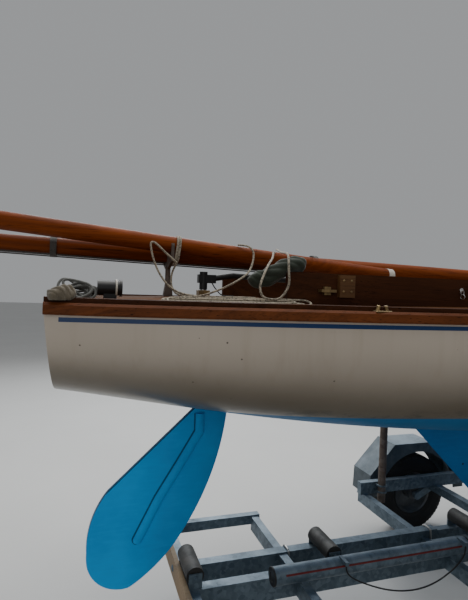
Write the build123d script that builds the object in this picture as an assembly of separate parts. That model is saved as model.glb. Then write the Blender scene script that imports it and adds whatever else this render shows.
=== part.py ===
"""Fin-keel sailing boat standing on its galvanised road trailer.

Lengths are in millimetres.  +X points to the bow, +Y to port, +Z up.
Along the boat every place is first given from the transom, because the hull,
the rudder and the trailer are all set out from there.  export() then moves the
whole model so that its origin is on the floor, under the middle of its length.
"""
from build123d import *
from math import atan, copysign, cos, radians, sin, sqrt, tan
import os

os.makedirs("parts", exist_ok=True)

# Hull, from the transom forward
WALL = 14                   # planking thickness
DECK_EDGE = 12              # deck thickness at the sheer
HULL_STATIONS = (
    # x, half_beam, sheer_z, bottom_z, bilge_y, bilge_z, deck_rise
    (0, 420, 1548, 1232, 255, 1272, 22),
    (650, 555, 1548, 1120, 345, 1178, 30),
    (1300, 665, 1550, 1034, 425, 1110, 38),
    (2100, 742, 1556, 974, 490, 1066, 42),
    (3000, 762, 1568, 954, 510, 1054, 42),
    (3900, 690, 1577, 986, 440, 1088, 28),
    (4800, 492, 1590, 1072, 270, 1172, 16),
    (5550, 222, 1609, 1220, 102, 1306, 7),
    (6100, 16, 1626, 1490, 12, 1501, 1),
)
TRANSOM_RAKE = 32           # how far the transom's foot lies ahead of its top

# Cockpit
WELL_AFT_X = 830
WELL_FORE_X = 3760
WELL_HALF_WIDTH = 455
WELL_AFT_HALF_WIDTH = 395
WELL_FORE_HALF_WIDTH = 250
WELL_AFT_TAPER = 300
WELL_FORE_TAPER = 700
WELL_CORNER_R = 90
COAMING_THICKNESS = 18
COAMING_TOP_Z = 1692
COAMING_FOOT_Z = 1520
COAMING_FORE_Z = 1626
CHEEK_AFT_X = 995
CHEEK_FORE_X = 1057
CHEEK_REACH_Y = 468
BULKHEAD_AFT_X = 800
BULKHEAD_FORE_X = 3900
FLOOR_TOP_Z = 1150
FLOOR_THICKNESS = 14
FLOOR_PLANK_WIDTH = 108
FLOOR_PLANK_GAP = 12
FLOOR_PLANKS = 5
FLOOR_AFT_X = 1500
FLOOR_FORE_X = 3600
FLOOR_BEARERS = (1560, 2240, 2920, 3540)
THWART_X = 2650
THWART_WIDTH = 190
THWART_TOP_Z = 1420
THWART_THICKNESS = 24
STEP_X = 3720
STEP_TOP_Z = 1110

# Rails along the sheer
RUB_HEIGHT = 38
RUB_RISE = 5                # how far the strake stands above the deck's edge
RUB_WIDTH = 20
TOE_HEIGHT = 18
TOE_WIDTH = 18
TOE_INSET = 5
RAIL_BEDDING = 1            # bedding compound under the rails
TOE_STATIONS = HULL_STATIONS[:-1]

# Keel
KEEL_ROOT_AFT_X = 1655
KEEL_ROOT_FORE_X = 3020
KEEL_ROOT_Z = 1030
KEEL_FOOT_AFT_X = 2165
KEEL_FOOT_FORE_X = 2990
KEEL_FOOT_Z = 540
KEEL_ROOT_HALF = 34
KEEL_FOOT_HALF = 22
BULB_AFT_X = 2130
BULB_FORE_X = 3170
BULB_RADIUS = 72
BULB_SECTIONS = (
    # share of the bulb's length, share of its radius
    (0, 0.10), (0.16, 0.50), (0.38, 0.88), (0.62, 1.0), (0.84, 0.84), (0.96, 0.50), (1, 0.22),
)
KEEL_BOTTOM_Z = 466

# Rudder
STOCK_X = 606
STOCK_RADIUS = 13
STOCK_TOP_Z = 1690
RUNNING_GAP = 0.05
BLADE_AFT_X = 585
BLADE_AFT_TOP_Z = 1113
BLADE_FORE_X = 728
BLADE_FORE_TOP_Z = 1088
BLADE_HALF = 12
BLADE_BEVEL = 3
RIB_HALF = 26

HEAD_LOW_Z = 1618
HEAD_RADIUS = 17
CLAMP_LOW_Z = 1646
CLAMP_TOP_Z = 1682
CLAMP_FORE_X = 658
TILLER_KNEE = (740, 0, 1682)
TILLER_END = (1240, 0, 1664)
TILLER_RADIUS = 12

# Spars, lashed along the boat
MAST_Y = 50
MASTHEAD_X = -1240
MASTHEAD_Z = 1796
MASTHEAD_RADIUS = 28
MAST_TAPER_X = 1700
MAST_HEEL_X = 4750
MAST_HEEL_Z = 1670
MAST_RADIUS = 44
BOOM_AFT = (-1160, -46, 1927)
BOOM_FORE = (1515, -46, 1710)
BOOM_RADIUS = 35
POLE_AFT = (-260, 120, 1776)
POLE_FORE = (2050, 120, 1746)
POLE_RADIUS = 20
STAY_RADIUS = 2.5
STAY_GAP = 3
STAY_ANGLES = (-125, -90, -55)
STAY_BANDS = (-700, 0, 1150)
STAY_AFT_X = -1100
STAY_FORE_X = 1500
CRUTCH_X = 455
CRUTCH_PLATE = 12
CRUTCH_POST_RADIUS = 11
CRUTCH_SEAT_Z = 1745
BOW_CHOCK_X = 4600

# Deck fittings
CHAINPLATE_X = 3180
CHAINPLATE_Y = 590
CHAINPLATE_Z = 1601
STEM_EYE_X = 5960
STEM_EYE_Z = 1640
CLEAT_REACH_Y = 462
DRUM_AFT_X = 160
DRUM_FORE_X = 232
DRUM_Y = -330
DRUM_Z = 1613
DRUM_RADIUS = 25

# Trailer frame
BEAM_TOP_Z = 380
BEAM_HEIGHT = 100
BEAM_INNER_Y = 60
BEAM_OUTER_Y = 110
REAR_BEAM_FORE_X = 1955
FRONT_BEAM_DROP = 10
FRONT_BEAM_HEIGHT = 80
FRONT_CROSS_X = 3540
REAR_CROSS_AFT_X = 560
REAR_CROSS_FORE_X = 600
REAR_CROSS_HALF = 500
REAR_CROSS_HEIGHT = 80
TIMBER_THICKNESS = 20
TIMBER_RISE = 12
SIDE_BAR_Y = 465
SIDE_BAR_WIDTH = 40
SIDE_BAR_HEIGHT = 50
SIDE_BAR_FORE_X = 1085
CROSS_MEMBERS = (
    # aft_x, outer_y, top_z, height
    (1035, 445, 372, 72),
    (1855, 660, 345, 65),
)
CHANNEL_WALL = 5
CHANNEL_FLANGE = 40
RAIL_AFT_X = 1835
RAIL_FORE_X = 3580
RAIL_INNER_Y = 600
RAIL_OUTER_Y = 640
RAIL_LOW_Z = 345
RAIL_TOP_Z = 420

# Axle, wheels and guards
WHEEL_X = 2330
TRACK_HALF = 770
TYRE_RADIUS = 260
TYRE_WIDTH = 135
TYRE_SHOULDER = 26
RIM_RADIUS = 140
RIM_WIDTH = 104
HUB_RADIUS = 42
AXLE_X = 2450
AXLE_SIZE = 50
AXLE_HALF_LENGTH = TRACK_HALF - 110
ARM_WIDTH = 24
STUB_RADIUS = 15
STUB_END_Y = TRACK_HALF - 22
GUARD_INNER_Y = TRACK_HALF - 100
GUARD_OUTER_Y = TRACK_HALF + 95
GUARD_SHEET = 3
GUARD_ARCH_GAP = 42
GUARD_PROFILE = (
    # x from the wheel, z
    (-385, 288), (-378, 430), (-195, 622), (105, 622), (375, 430), (385, 288),
)
GUARD_HALF_LENGTH = 385
GUARD_FOOT_Z = 288
GUARD_STAY_Z = (370, 400)

# Hull posts and keel rollers
POST_RADIUS = 24
POST_FOOT_Z = 300
POST_TOP_Z = 1072
POST_PLACES = (1972, 3420)
PAD_HALF_LENGTH = 130
PAD_HALF_WIDTH = 62
PAD_REACH_Z = 1260
CLAMP_LEVELS = (362, 402)
CLAMP_BAR = 8
ROLLER_RADIUS = 38
ROLLER_HALF_LENGTH = 93
ROLLER_AXIS_Z = KEEL_BOTTOM_Z - ROLLER_RADIUS
ROLLER_PIN_RADIUS = 8
BRACKET_THICKNESS = 6
BRACKET_HALF = 28
FORE_ROLLER_X = REAR_BEAM_FORE_X + 130
AFT_ROLLER_X = REAR_CROSS_AFT_X + BRACKET_HALF + 2
FREE_ROLLERS = (("aft", AFT_ROLLER_X), ("middle", 1240), ("fore", FORE_ROLLER_X))
LOADED_ROLLERS = (2430, 2960)

# Stowed tube and trailer cable
TUBE_AFT_X = 915
TUBE_FORE_X = 1928
TUBE_RADIUS = 38
TUBE_WALL = 3
TUBE_Y = -BEAM_OUTER_Y - TUBE_RADIUS - 4
TUBE_Z = 412
CABLE_RADIUS = 3.5
CABLE_Y = TUBE_Y - TUBE_RADIUS - 12
CLIP_LOW_Z = TUBE_Z + 28
CLIP_TOP_Z = TUBE_Z + 44
CLIP_PLACES = (1238, 1888)
CABLE_ROUTE = (
    # x, z
    (1238, CLIP_LOW_Z), (1238, 417), (1254, 392), (1288, 368),
    (1340, 342), (1396, 318), (1456, 296), (1528, 279),
    (1606, 271), (1684, 278), (1756, 301), (1816, 332),
    (1860, 366), (1882, 394), (1888, 418), (1888, CLIP_LOW_Z),
)

# Drawbar
HEAD_AFT_X = 6150
HEAD_FORE_X = 6480
HEAD_HALF = 50
NOSE_X = 6640
SOCKET_X = 6590
SOCKET_RADIUS = 25.2
SOCKET_DEPTH = 38
COUPLING_HALF = 38
WINCH_POST_X = 6210
WINCH_POST_HALF = 30
WINCH_POST_TOP_Z = 1470
WINCH_Z = 1105
JOCKEY_X = HEAD_AFT_X + 200
JOCKEY_Y = 92
JOCKEY_RADIUS = 100
JOCKEY_WIDTH = 50
JOCKEY_TRAIL = 48
JOCKEY_TUBE_RADIUS = 24
JOCKEY_INNER_RADIUS = 19
JOCKEY_TUBE_LOW_Z = 290
JOCKEY_TUBE_TOP_Z = 760
JOCKEY_CRANK = 110

MIDDLE_X = (MASTHEAD_X + NOSE_X) / 2


def export(name, shape):
    """Write one node, moved from the transom's frame to the part's own."""
    export_step(shape.moved(Location((-MIDDLE_X, 0, 0))), "parts/" + name + ".step")


def block(x0, x1, y0, y1, z0, z1):
    """Plain block between two corners."""
    size = (x1 - x0, y1 - y0, z1 - z0)
    return Pos((x0 + x1) / 2, (y0 + y1) / 2, (z0 + z1) / 2) * Box(*size)


def rod(start, end, radius, end_radius=None):
    """Round bar, or a tapered one, from one point to another."""
    axis = Vector(*end) - Vector(*start)
    plane = Plane(origin=start, z_dir=axis)
    if end_radius is None:
        solid = Cylinder(radius, axis.length, align=(Align.CENTER, Align.CENTER, Align.MIN))
    else:
        solid = Cone(radius, end_radius, axis.length,
                     align=(Align.CENTER, Align.CENTER, Align.MIN))
    return plane * solid


def side_profile(points, half_width, y=0):
    """Closed outline in the X-Z plane, made solid to both sides of y."""
    face = make_face(Polyline(*[(x, 0, z) for x, z in points], close=True))
    return Pos(0, y, 0) * extrude(face, half_width, dir=(0, 1, 0), both=True)


def mirrored(shape):
    """The same piece on the starboard side."""
    return mirror(shape, about=Plane.XZ)


# Hull form
def hull_section(x, half_beam, sheer_z, bottom_z, bilge_y, bilge_z, inset=0):
    """One closed section: a bottom arc through the keel line and two tangent topside arcs.

    The inset section is what is left inside the planking; it stands proud at the top."""
    turn = 2 * atan((bilge_z - bottom_z) / bilge_y)
    tangent = (cos(turn), sin(turn))
    bilge = (bilge_y - inset * sin(turn), bilge_z + inset * cos(turn))
    keel = (0, bottom_z + inset)
    sheer = (half_beam - inset, sheer_z + inset)
    bottom = ThreePointArc((x, -bilge[0], bilge[1]), (x, *keel), (x, *bilge))
    port = TangentArc((x, *bilge), (x, *sheer), tangent=(0, *tangent))
    starboard = TangentArc((x, -bilge[0], bilge[1]), (x, -sheer[0], sheer[1]),
                           tangent=(0, -tangent[0], tangent[1]))
    top = Line((x, *sheer), (x, -sheer[0], sheer[1]))
    return make_face([bottom, port, top, starboard])


def hull_body(stations, inset=0):
    """Planked body through the given stations, or the space left inside its planking."""
    return loft([hull_section(*row[:6], inset=inset) for row in stations])


def deck_section(x, half_beam, sheer_z, rise):
    """Deck plank section: flat below, cambered above."""
    low_port = (x, half_beam, sheer_z)
    high_port = (x, half_beam, sheer_z + DECK_EDGE)
    low_starboard = (x, -half_beam, sheer_z)
    high_starboard = (x, -half_beam, sheer_z + DECK_EDGE)
    return make_face([
        Line(low_starboard, low_port),
        Line(low_port, high_port),
        ThreePointArc(high_port, (x, 0, sheer_z + DECK_EDGE + rise), high_starboard),
        Line(high_starboard, low_starboard),
    ])


def side_beam(row, z):
    """Half-breadth of the planking at height z, on the topside arc of one station."""
    x, half_beam, sheer_z, bottom_z, bilge_y, bilge_z, rise = row
    turn = 2 * atan((bilge_z - bottom_z) / bilge_y)
    normal = (-sin(turn), cos(turn))
    chord = (half_beam - bilge_y, sheer_z - bilge_z)
    radius = (chord[0] ** 2 + chord[1] ** 2) / (2 * (chord[0] * normal[0] + chord[1] * normal[1]))
    centre = (bilge_y + normal[0] * radius, bilge_z + normal[1] * radius)
    return centre[0] + copysign(sqrt(radius ** 2 - (z - centre[1]) ** 2), radius)


def strip(outlines):
    """Loft through one closed outline of (y, z) pairs at each station."""
    sections = [make_face(Polyline(*[(x, y, z) for y, z in outline], close=True)) for x, outline in outlines]
    return loft(sections)


def rub_rail_body():
    """Rubbing strake: its back lies along the planking and the deck's edge."""
    outlines = []
    for row in HULL_STATIONS:
        x, half_beam, sheer_z = row[:3]
        top_z = sheer_z + DECK_EDGE + RUB_RISE
        low_z = top_z - RUB_HEIGHT
        low_y = side_beam(row, low_z) + RAIL_BEDDING
        sheer_y = half_beam + RAIL_BEDDING
        outlines.append((x, ((low_y, low_z), (low_y + RUB_WIDTH - 4, low_z), (low_y + RUB_WIDTH, low_z + 6),
                             (sheer_y + RUB_WIDTH, top_z - 8), (sheer_y + RUB_WIDTH - 8, top_z),
                             (sheer_y, top_z), (sheer_y, sheer_z))))
    return strip(outlines)


def deck_height(row, y):
    """Top of the cambered deck at one station."""
    x, half_beam, sheer_z, bottom_z, bilge_y, bilge_z, rise = row
    radius = (half_beam ** 2 + rise ** 2) / (2 * rise)
    return sheer_z + DECK_EDGE + rise - radius + sqrt(radius ** 2 - y ** 2)


def toe_rail_body():
    """Toe rail: a leaning strip bedded on the deck just inside its edge."""
    outlines = []
    for row in TOE_STATIONS:
        x, half_beam = row[:2]
        outer_y = half_beam - TOE_INSET
        inner_y = outer_y - TOE_WIDTH
        outer_z = deck_height(row, outer_y) + RAIL_BEDDING
        inner_z = deck_height(row, inner_y) + RAIL_BEDDING
        outlines.append((x, ((inner_y, inner_z), (outer_y, outer_z), (outer_y, outer_z + TOE_HEIGHT),
                             (inner_y + 3, inner_z + TOE_HEIGHT))))
    return strip(outlines)


def well_outline(grow=0):
    """Plan of the cockpit well, grown outward by a board's thickness."""
    points = [
        (WELL_AFT_X - grow, WELL_AFT_HALF_WIDTH + grow),
        (WELL_AFT_X + WELL_AFT_TAPER, WELL_HALF_WIDTH + grow),
        (WELL_FORE_X - WELL_FORE_TAPER, WELL_HALF_WIDTH + grow),
        (WELL_FORE_X + grow, WELL_FORE_HALF_WIDTH + grow),
    ]
    points += [(x, -y) for x, y in reversed(points)]
    face = make_face(Polyline(*points, close=True))
    corners = [vertex for vertex in face.vertices() if abs(vertex.Y) > WELL_AFT_HALF_WIDTH + grow + 1]
    return fillet(corners, WELL_CORNER_R * 4)


def bar_outline(start, end, width):
    """Four corners of a straight bar between two points of the X-Z plane."""
    dx, dz = end[0] - start[0], end[1] - start[1]
    length = (dx * dx + dz * dz) ** 0.5
    nx, nz = -dz / length * width / 2, dx / length * width / 2
    return [(start[0] + nx, start[1] + nz), (end[0] + nx, end[1] + nz),
            (end[0] - nx, end[1] - nz), (start[0] - nx, start[1] - nz)]


def across(x, z, y0, y1, radius):
    """Round bar along Y."""
    return rod((x, y0, z), (x, y1, z), radius)


# Hull and deck
outer_hull = hull_body(HULL_STATIONS)
inner_hull = hull_body(HULL_STATIONS[:-1], WALL)
cavity_reach = block(BULKHEAD_AFT_X, BULKHEAD_FORE_X, -900, 900, 900, 1800)
stock_bore = rod((STOCK_X, 0, 900), (STOCK_X, 0, 1800), STOCK_RADIUS + RUNNING_GAP)
transom_top_z = HULL_STATIONS[0][2]
transom_foot_z = HULL_STATIONS[0][3]
transom_cut = side_profile([(-50, transom_top_z), (0, transom_top_z), (TRANSOM_RAKE, transom_foot_z),
                            (TRANSOM_RAKE, 1000), (-50, 1000)], 900)
hull_shell = outer_hull - (inner_hull & cavity_reach) - stock_bore - transom_cut
export("hull_shell", hull_shell)

deck_body = loft([deck_section(row[0], row[1], row[2], row[6]) for row in HULL_STATIONS])
well_cut = Pos(0, 0, 1400) * extrude(well_outline(COAMING_THICKNESS), 400)
deck = deck_body - well_cut - stock_bore
export("deck", deck)

rub_rail = rub_rail_body()
export("rub_rail_port", rub_rail)
export("rub_rail_starboard", mirrored(rub_rail))
toe_rail = toe_rail_body()
export("toe_rail_port", toe_rail)
export("toe_rail_starboard", mirrored(toe_rail))

# Cockpit
coaming_ring = well_outline(COAMING_THICKNESS) - well_outline()
coaming = Pos(0, 0, COAMING_FOOT_Z) * extrude(coaming_ring, COAMING_TOP_Z - COAMING_FOOT_Z)
aft_opening = block(0, WELL_AFT_X + 1, -WELL_AFT_HALF_WIDTH, WELL_AFT_HALF_WIDTH, 1400, 1800)
fore_slope = side_profile([(2900, COAMING_TOP_Z), (3900, COAMING_FORE_Z), (3900, 1900), (2900, 1900)], 600)
coaming = coaming - aft_opening - fore_slope
export("coaming", coaming)
cheek = block(CHEEK_AFT_X, CHEEK_FORE_X, WELL_AFT_HALF_WIDTH, CHEEK_REACH_Y, 1607, COAMING_TOP_Z - 4)
cheek -= extrude(well_outline(COAMING_THICKNESS), COAMING_TOP_Z)
export("coaming_cheeks", Compound(children=[cheek, mirrored(cheek)]))

floor_low_z = FLOOR_TOP_Z - FLOOR_THICKNESS
pitch = FLOOR_PLANK_WIDTH + FLOOR_PLANK_GAP
planks = []
for index in range(FLOOR_PLANKS):
    y = (index - (FLOOR_PLANKS - 1) / 2) * pitch
    planks.append(block(FLOOR_AFT_X, FLOOR_FORE_X, y - FLOOR_PLANK_WIDTH / 2, y + FLOOR_PLANK_WIDTH / 2,
                        floor_low_z, FLOOR_TOP_Z))
bearers = [block(x - 20, x + 20, -330, 330, 900, floor_low_z) & inner_hull for x in FLOOR_BEARERS]
floorboards = planks[0].fuse(*planks[1:], *bearers)
export("floorboards", floorboards)

thwart_low_z = THWART_TOP_Z - THWART_THICKNESS
thwart = block(THWART_X - THWART_WIDTH / 2, THWART_X + THWART_WIDTH / 2, -900, 900,
               thwart_low_z, THWART_TOP_Z)
export("thwart", thwart & inner_hull)
step = block(STEP_X - 110, STEP_X + 110, -60, 60, 900, STEP_TOP_Z) & inner_hull
step_socket = block(STEP_X - 50, STEP_X + 50, -32, 32, STEP_TOP_Z - 30, STEP_TOP_Z + 1)
export("mast_step", step - step_socket)

# Keel
def lens(aft_x, fore_x, z, half):
    """Foil-like section of two arcs."""
    middle = aft_x + (fore_x - aft_x) * 0.6
    return make_face([
        ThreePointArc((aft_x, 0, z), (middle, half, z), (fore_x, 0, z)),
        ThreePointArc((fore_x, 0, z), (middle, -half, z), (aft_x, 0, z)),
    ])


fin = loft([
    lens(KEEL_FOOT_AFT_X, KEEL_FOOT_FORE_X, KEEL_FOOT_Z, KEEL_FOOT_HALF),
    lens(KEEL_ROOT_AFT_X, KEEL_ROOT_FORE_X, KEEL_ROOT_Z, KEEL_ROOT_HALF),
], ruled=True)
bulb_z = KEEL_BOTTOM_Z + BULB_RADIUS - 4
bulb_length = BULB_FORE_X - BULB_AFT_X
bulb_rings = []
for share, girth in BULB_SECTIONS:
    ring_plane = Plane(origin=(BULB_AFT_X + share * bulb_length, 0, bulb_z), z_dir=(1, 0, 0))
    bulb_rings.append(ring_plane * Circle(BULB_RADIUS * girth))
bulb = loft(bulb_rings)
keel = (fin - outer_hull) + bulb - block(1500, 3500, -200, 200, 300, KEEL_BOTTOM_Z)
export("keel", keel)

# Rudder
blade_face = make_face([
    Line((BLADE_AFT_X, 0, BLADE_AFT_TOP_Z), (BLADE_FORE_X, 0, BLADE_FORE_TOP_Z)),
    ThreePointArc((BLADE_FORE_X, 0, BLADE_FORE_TOP_Z), (660, 0, 802), (507, 0, 525)),
    ThreePointArc((507, 0, 525), (425, 0, 440), (335, 0, 376)),
    ThreePointArc((335, 0, 376), (215, 0, 400), (156, 0, 530)),
    ThreePointArc((156, 0, 530), (172, 0, 668), (236, 0, 786)),
    Line((236, 0, 786), (BLADE_AFT_X, 0, BLADE_AFT_TOP_Z)),
])
blade = extrude(blade_face, BLADE_HALF, dir=(0, 1, 0), both=True)
rim_edges = blade.edges().filter_by(lambda edge: abs(abs(edge.center().Y) - BLADE_HALF) < 0.1)
long_edges = rim_edges.filter_by(lambda edge: edge.length > 400)
blade = chamfer(long_edges, BLADE_BEVEL)
rib_path = ((STOCK_X, 1050), (STOCK_X, 1010), (526, 876), (440, 737), (357, 573))
rib = rod((STOCK_X, 0, BLADE_FORE_TOP_Z), (STOCK_X, 0, rib_path[0][1]), RIB_HALF)
for start, end in zip(rib_path, rib_path[1:]):
    rib += rod((start[0], 0, start[1]), (end[0], 0, end[1]), RIB_HALF)
    rib += Pos(end[0], 0, end[1]) * Sphere(RIB_HALF)
rib = rib & block(0, 900, -RIB_HALF, RIB_HALF, 0, 1090)
blade_drop = BLADE_AFT_TOP_Z - BLADE_FORE_TOP_Z
blade_gap_z = BLADE_AFT_TOP_Z - (STOCK_X - BLADE_AFT_X) * blade_drop / (BLADE_FORE_X - BLADE_AFT_X)
stock = rod((STOCK_X, 0, blade_gap_z), (STOCK_X, 0, STOCK_TOP_Z), STOCK_RADIUS)
rudder_blade = blade + rib - stock
export("rudder_blade", rudder_blade)
export("rudder_stock", stock)
head = rod((STOCK_X, 0, HEAD_LOW_Z), (STOCK_X, 0, STOCK_TOP_Z + 4), HEAD_RADIUS)
head += block(STOCK_X - 24, CLAMP_FORE_X, -16, 16, CLAMP_LOW_Z, CLAMP_TOP_Z)
tiller_start = (CLAMP_FORE_X - 24, 0, (CLAMP_LOW_Z + CLAMP_TOP_Z) / 2)
tiller = head + rod(tiller_start, TILLER_KNEE, TILLER_RADIUS)
tiller += Pos(*TILLER_KNEE) * Sphere(TILLER_RADIUS)
tiller += rod(TILLER_KNEE, TILLER_END, TILLER_RADIUS)
export("tiller", tiller - stock)
bearing = block(STOCK_X - 24, STOCK_X + 24, -24, 24, 1560, HEAD_LOW_Z - 3) - stock_bore - deck_body
export("rudder_bearing", bearing)

# Spars
mast_drop = (MAST_HEEL_Z - MASTHEAD_Z) / (MAST_HEEL_X - MASTHEAD_X)


def mast_point(x):
    """Point of the mast's centreline."""
    return (x, MAST_Y, MASTHEAD_Z + (x - MASTHEAD_X) * mast_drop)


mast_axis = Vector(*mast_point(MAST_HEEL_X)) - Vector(*mast_point(MASTHEAD_X))
taper_length = mast_axis.length * (MAST_TAPER_X - MASTHEAD_X) / (MAST_HEEL_X - MASTHEAD_X)
mast_outline = make_face(Polyline((0, 0, 0), (MASTHEAD_RADIUS, 0, 0), (MAST_RADIUS, 0, taper_length),
                                  (MAST_RADIUS, 0, mast_axis.length), (0, 0, mast_axis.length), close=True))
mast = Plane(origin=mast_point(MASTHEAD_X), z_dir=mast_axis) * revolve(mast_outline, Axis.Z, 360)
export("mast", mast)
boom = rod(BOOM_AFT, BOOM_FORE, BOOM_RADIUS)
export("boom", boom)
pole = rod(POLE_AFT, POLE_FORE, POLE_RADIUS)
export("whisker_pole", pole)


def beside_mast(x, angle, gap):
    """Point at an angle round the mast, off its surface."""
    share = (x - MASTHEAD_X) / (MAST_TAPER_X - MASTHEAD_X)
    reach = MASTHEAD_RADIUS + (MAST_RADIUS - MASTHEAD_RADIUS) * share + gap
    centre = mast_point(x)
    return (x, centre[1] + reach * cos(radians(angle)), centre[2] + reach * sin(radians(angle)))


def stay_band(x):
    """Band of tape that holds the stays under the mast."""
    share = (x - MASTHEAD_X) / (MAST_TAPER_X - MASTHEAD_X)
    inside = MASTHEAD_RADIUS + (MAST_RADIUS - MASTHEAD_RADIUS) * share + STAY_GAP / 2
    middle = mast_point(x)
    start = (x - 12, middle[1], middle[2] - 12 * mast_drop)
    end = (x + 12, middle[1], middle[2] + 12 * mast_drop)
    return rod(start, end, inside + STAY_GAP / 2 + 2 * STAY_RADIUS + 1) - rod(start, end, inside)


stays = [rod(beside_mast(STAY_AFT_X, angle, STAY_RADIUS + STAY_GAP),
             beside_mast(STAY_FORE_X, angle, STAY_RADIUS + STAY_GAP), STAY_RADIUS) for angle in STAY_ANGLES]
stay_bundle = stays[0].fuse(*stays[1:], *[stay_band(x) for x in STAY_BANDS])
export("stays", stay_bundle)

crutch_points = ((-84, 1800), (-84, 1728), (0, 1700), (60, 1700), (144, 1735), (144, CRUTCH_SEAT_Z + 30),
                 (98, CRUTCH_SEAT_Z + 30), (98, CRUTCH_SEAT_Z + 10), (-4, CRUTCH_SEAT_Z + 10), (-12, 1800))
crutch_face = make_face(Polyline(*[(CRUTCH_X, y, z) for y, z in crutch_points], close=True))
crutch = extrude(crutch_face, CRUTCH_PLATE / 2, dir=(1, 0, 0), both=True)
crutch += rod((CRUTCH_X, 20, 1580), (CRUTCH_X, 20, 1710), CRUTCH_POST_RADIUS)
foot_points = [(CRUTCH_X - 22, 1560), (CRUTCH_X + 22, 1560), (CRUTCH_X + 16, 1655), (CRUTCH_X - 6, 1655)]
crutch += side_profile(foot_points, 16, 20)
crutch = crutch - mast - boom - pole - deck_body - stay_bundle
crutch = crutch.solids().sort_by(lambda solid: solid.volume)[-1]
export("mast_crutch", crutch)
chock = block(BOW_CHOCK_X - 40, BOW_CHOCK_X + 40, -20, 120, 1600, 1668) - mast - deck_body - outer_hull
export("bow_chock", chock)

# Deck fittings
def eye_plate(x, y, z):
    """Base plate with an upright drilled lug."""
    base = block(x - 32, x + 32, y - 14, y + 14, z - 14, z + 3)
    lug = block(x - 16, x + 16, y - 2.5, y + 2.5, z, z + 38)
    hole = across(x, z + 24, y - 10, y + 10, 4.1)
    return (base + lug - hole) - deck_body


chainplate = eye_plate(CHAINPLATE_X, CHAINPLATE_Y, CHAINPLATE_Z)
export("chainplates", Compound(children=[chainplate, mirrored(chainplate)]))
export("stem_fitting", eye_plate(STEM_EYE_X, 0, STEM_EYE_Z))
cleat = block(925, 985, WELL_AFT_HALF_WIDTH, CLEAT_REACH_Y, 1624, 1634)
cleat += block(942, 968, WELL_AFT_HALF_WIDTH, CLEAT_REACH_Y - 12, 1614, 1644)
cleat -= extrude(well_outline(COAMING_THICKNESS), COAMING_TOP_Z)
export("cleats", Compound(children=[cleat, mirrored(cleat)]))
drum = rod((DRUM_AFT_X, DRUM_Y, DRUM_Z), (DRUM_FORE_X, DRUM_Y, DRUM_Z), DRUM_RADIUS)
drum += rod((DRUM_FORE_X, DRUM_Y, DRUM_Z), (DRUM_FORE_X + 8, DRUM_Y, DRUM_Z), DRUM_RADIUS + 3)
drum += block(DRUM_AFT_X + 20, DRUM_FORE_X - 10, DRUM_Y - 16, DRUM_Y + 16, 1560, DRUM_Z)
export("stern_block", drum - deck_body)

# Trailer frame
def box_pair(x0, x1, y0, y1, z0, z1):
    """The same bar on both sides of the middle, as two solids."""
    port = block(x0, x1, y0, y1, z0, z1)
    return Compound(children=[port, mirrored(port)])


beam_low_z = BEAM_TOP_Z - BEAM_HEIGHT
rear_beams = box_pair(REAR_CROSS_FORE_X, REAR_BEAM_FORE_X, BEAM_INNER_Y, BEAM_OUTER_Y, beam_low_z, BEAM_TOP_Z)
export("rear_beams", rear_beams)
front_top_z = BEAM_TOP_Z - FRONT_BEAM_DROP
axle_notch = block(AXLE_X - AXLE_SIZE / 2, AXLE_X + AXLE_SIZE / 2, 0, BEAM_OUTER_Y,
                   RAIL_LOW_Z - AXLE_SIZE, RAIL_LOW_Z)
front_beam = block(REAR_BEAM_FORE_X, FRONT_CROSS_X, BEAM_INNER_Y + 5, BEAM_OUTER_Y - 5,
                   front_top_z - FRONT_BEAM_HEIGHT, front_top_z) - axle_notch
export("front_beams", Compound(children=[front_beam, mirrored(front_beam)]))
rear_cross = block(REAR_CROSS_AFT_X, REAR_CROSS_FORE_X, -REAR_CROSS_HALF, REAR_CROSS_HALF,
                   BEAM_TOP_Z - REAR_CROSS_HEIGHT, BEAM_TOP_Z)
timber = block(REAR_CROSS_AFT_X - TIMBER_THICKNESS, REAR_CROSS_AFT_X, -REAR_CROSS_HALF, REAR_CROSS_HALF,
               BEAM_TOP_Z - REAR_CROSS_HEIGHT, BEAM_TOP_Z + TIMBER_RISE)
export("rear_timber", timber)
side_bars = box_pair(REAR_CROSS_FORE_X, SIDE_BAR_FORE_X, SIDE_BAR_Y - SIDE_BAR_WIDTH / 2,
                     SIDE_BAR_Y + SIDE_BAR_WIDTH / 2, BEAM_TOP_Z - SIDE_BAR_HEIGHT, BEAM_TOP_Z)
export("side_bars", side_bars)


def channel_across(aft_x, outer_y, top_z, height):
    """Channel along Y with its web aft, open to the front."""
    whole = block(aft_x, aft_x + CHANNEL_FLANGE, -outer_y, outer_y, top_z - height, top_z)
    inside = block(aft_x + CHANNEL_WALL, aft_x + CHANNEL_FLANGE + 1, -outer_y - 1, outer_y + 1,
                   top_z - height + CHANNEL_WALL, top_z - CHANNEL_WALL)
    return whole - inside


cross_members = [rear_cross]
for row in CROSS_MEMBERS:
    cross_members += (channel_across(*row) - rear_beams).solids()
side_rails = box_pair(RAIL_AFT_X, RAIL_FORE_X, RAIL_INNER_Y, RAIL_OUTER_Y, RAIL_LOW_Z, RAIL_TOP_Z)
export("side_rails", side_rails)
front_cross = block(FRONT_CROSS_X, RAIL_FORE_X, -RAIL_INNER_Y, RAIL_INNER_Y,
                    front_top_z - FRONT_BEAM_HEIGHT, front_top_z)
export("cross_members", Compound(children=cross_members))
export("front_cross_member", front_cross)

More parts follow.
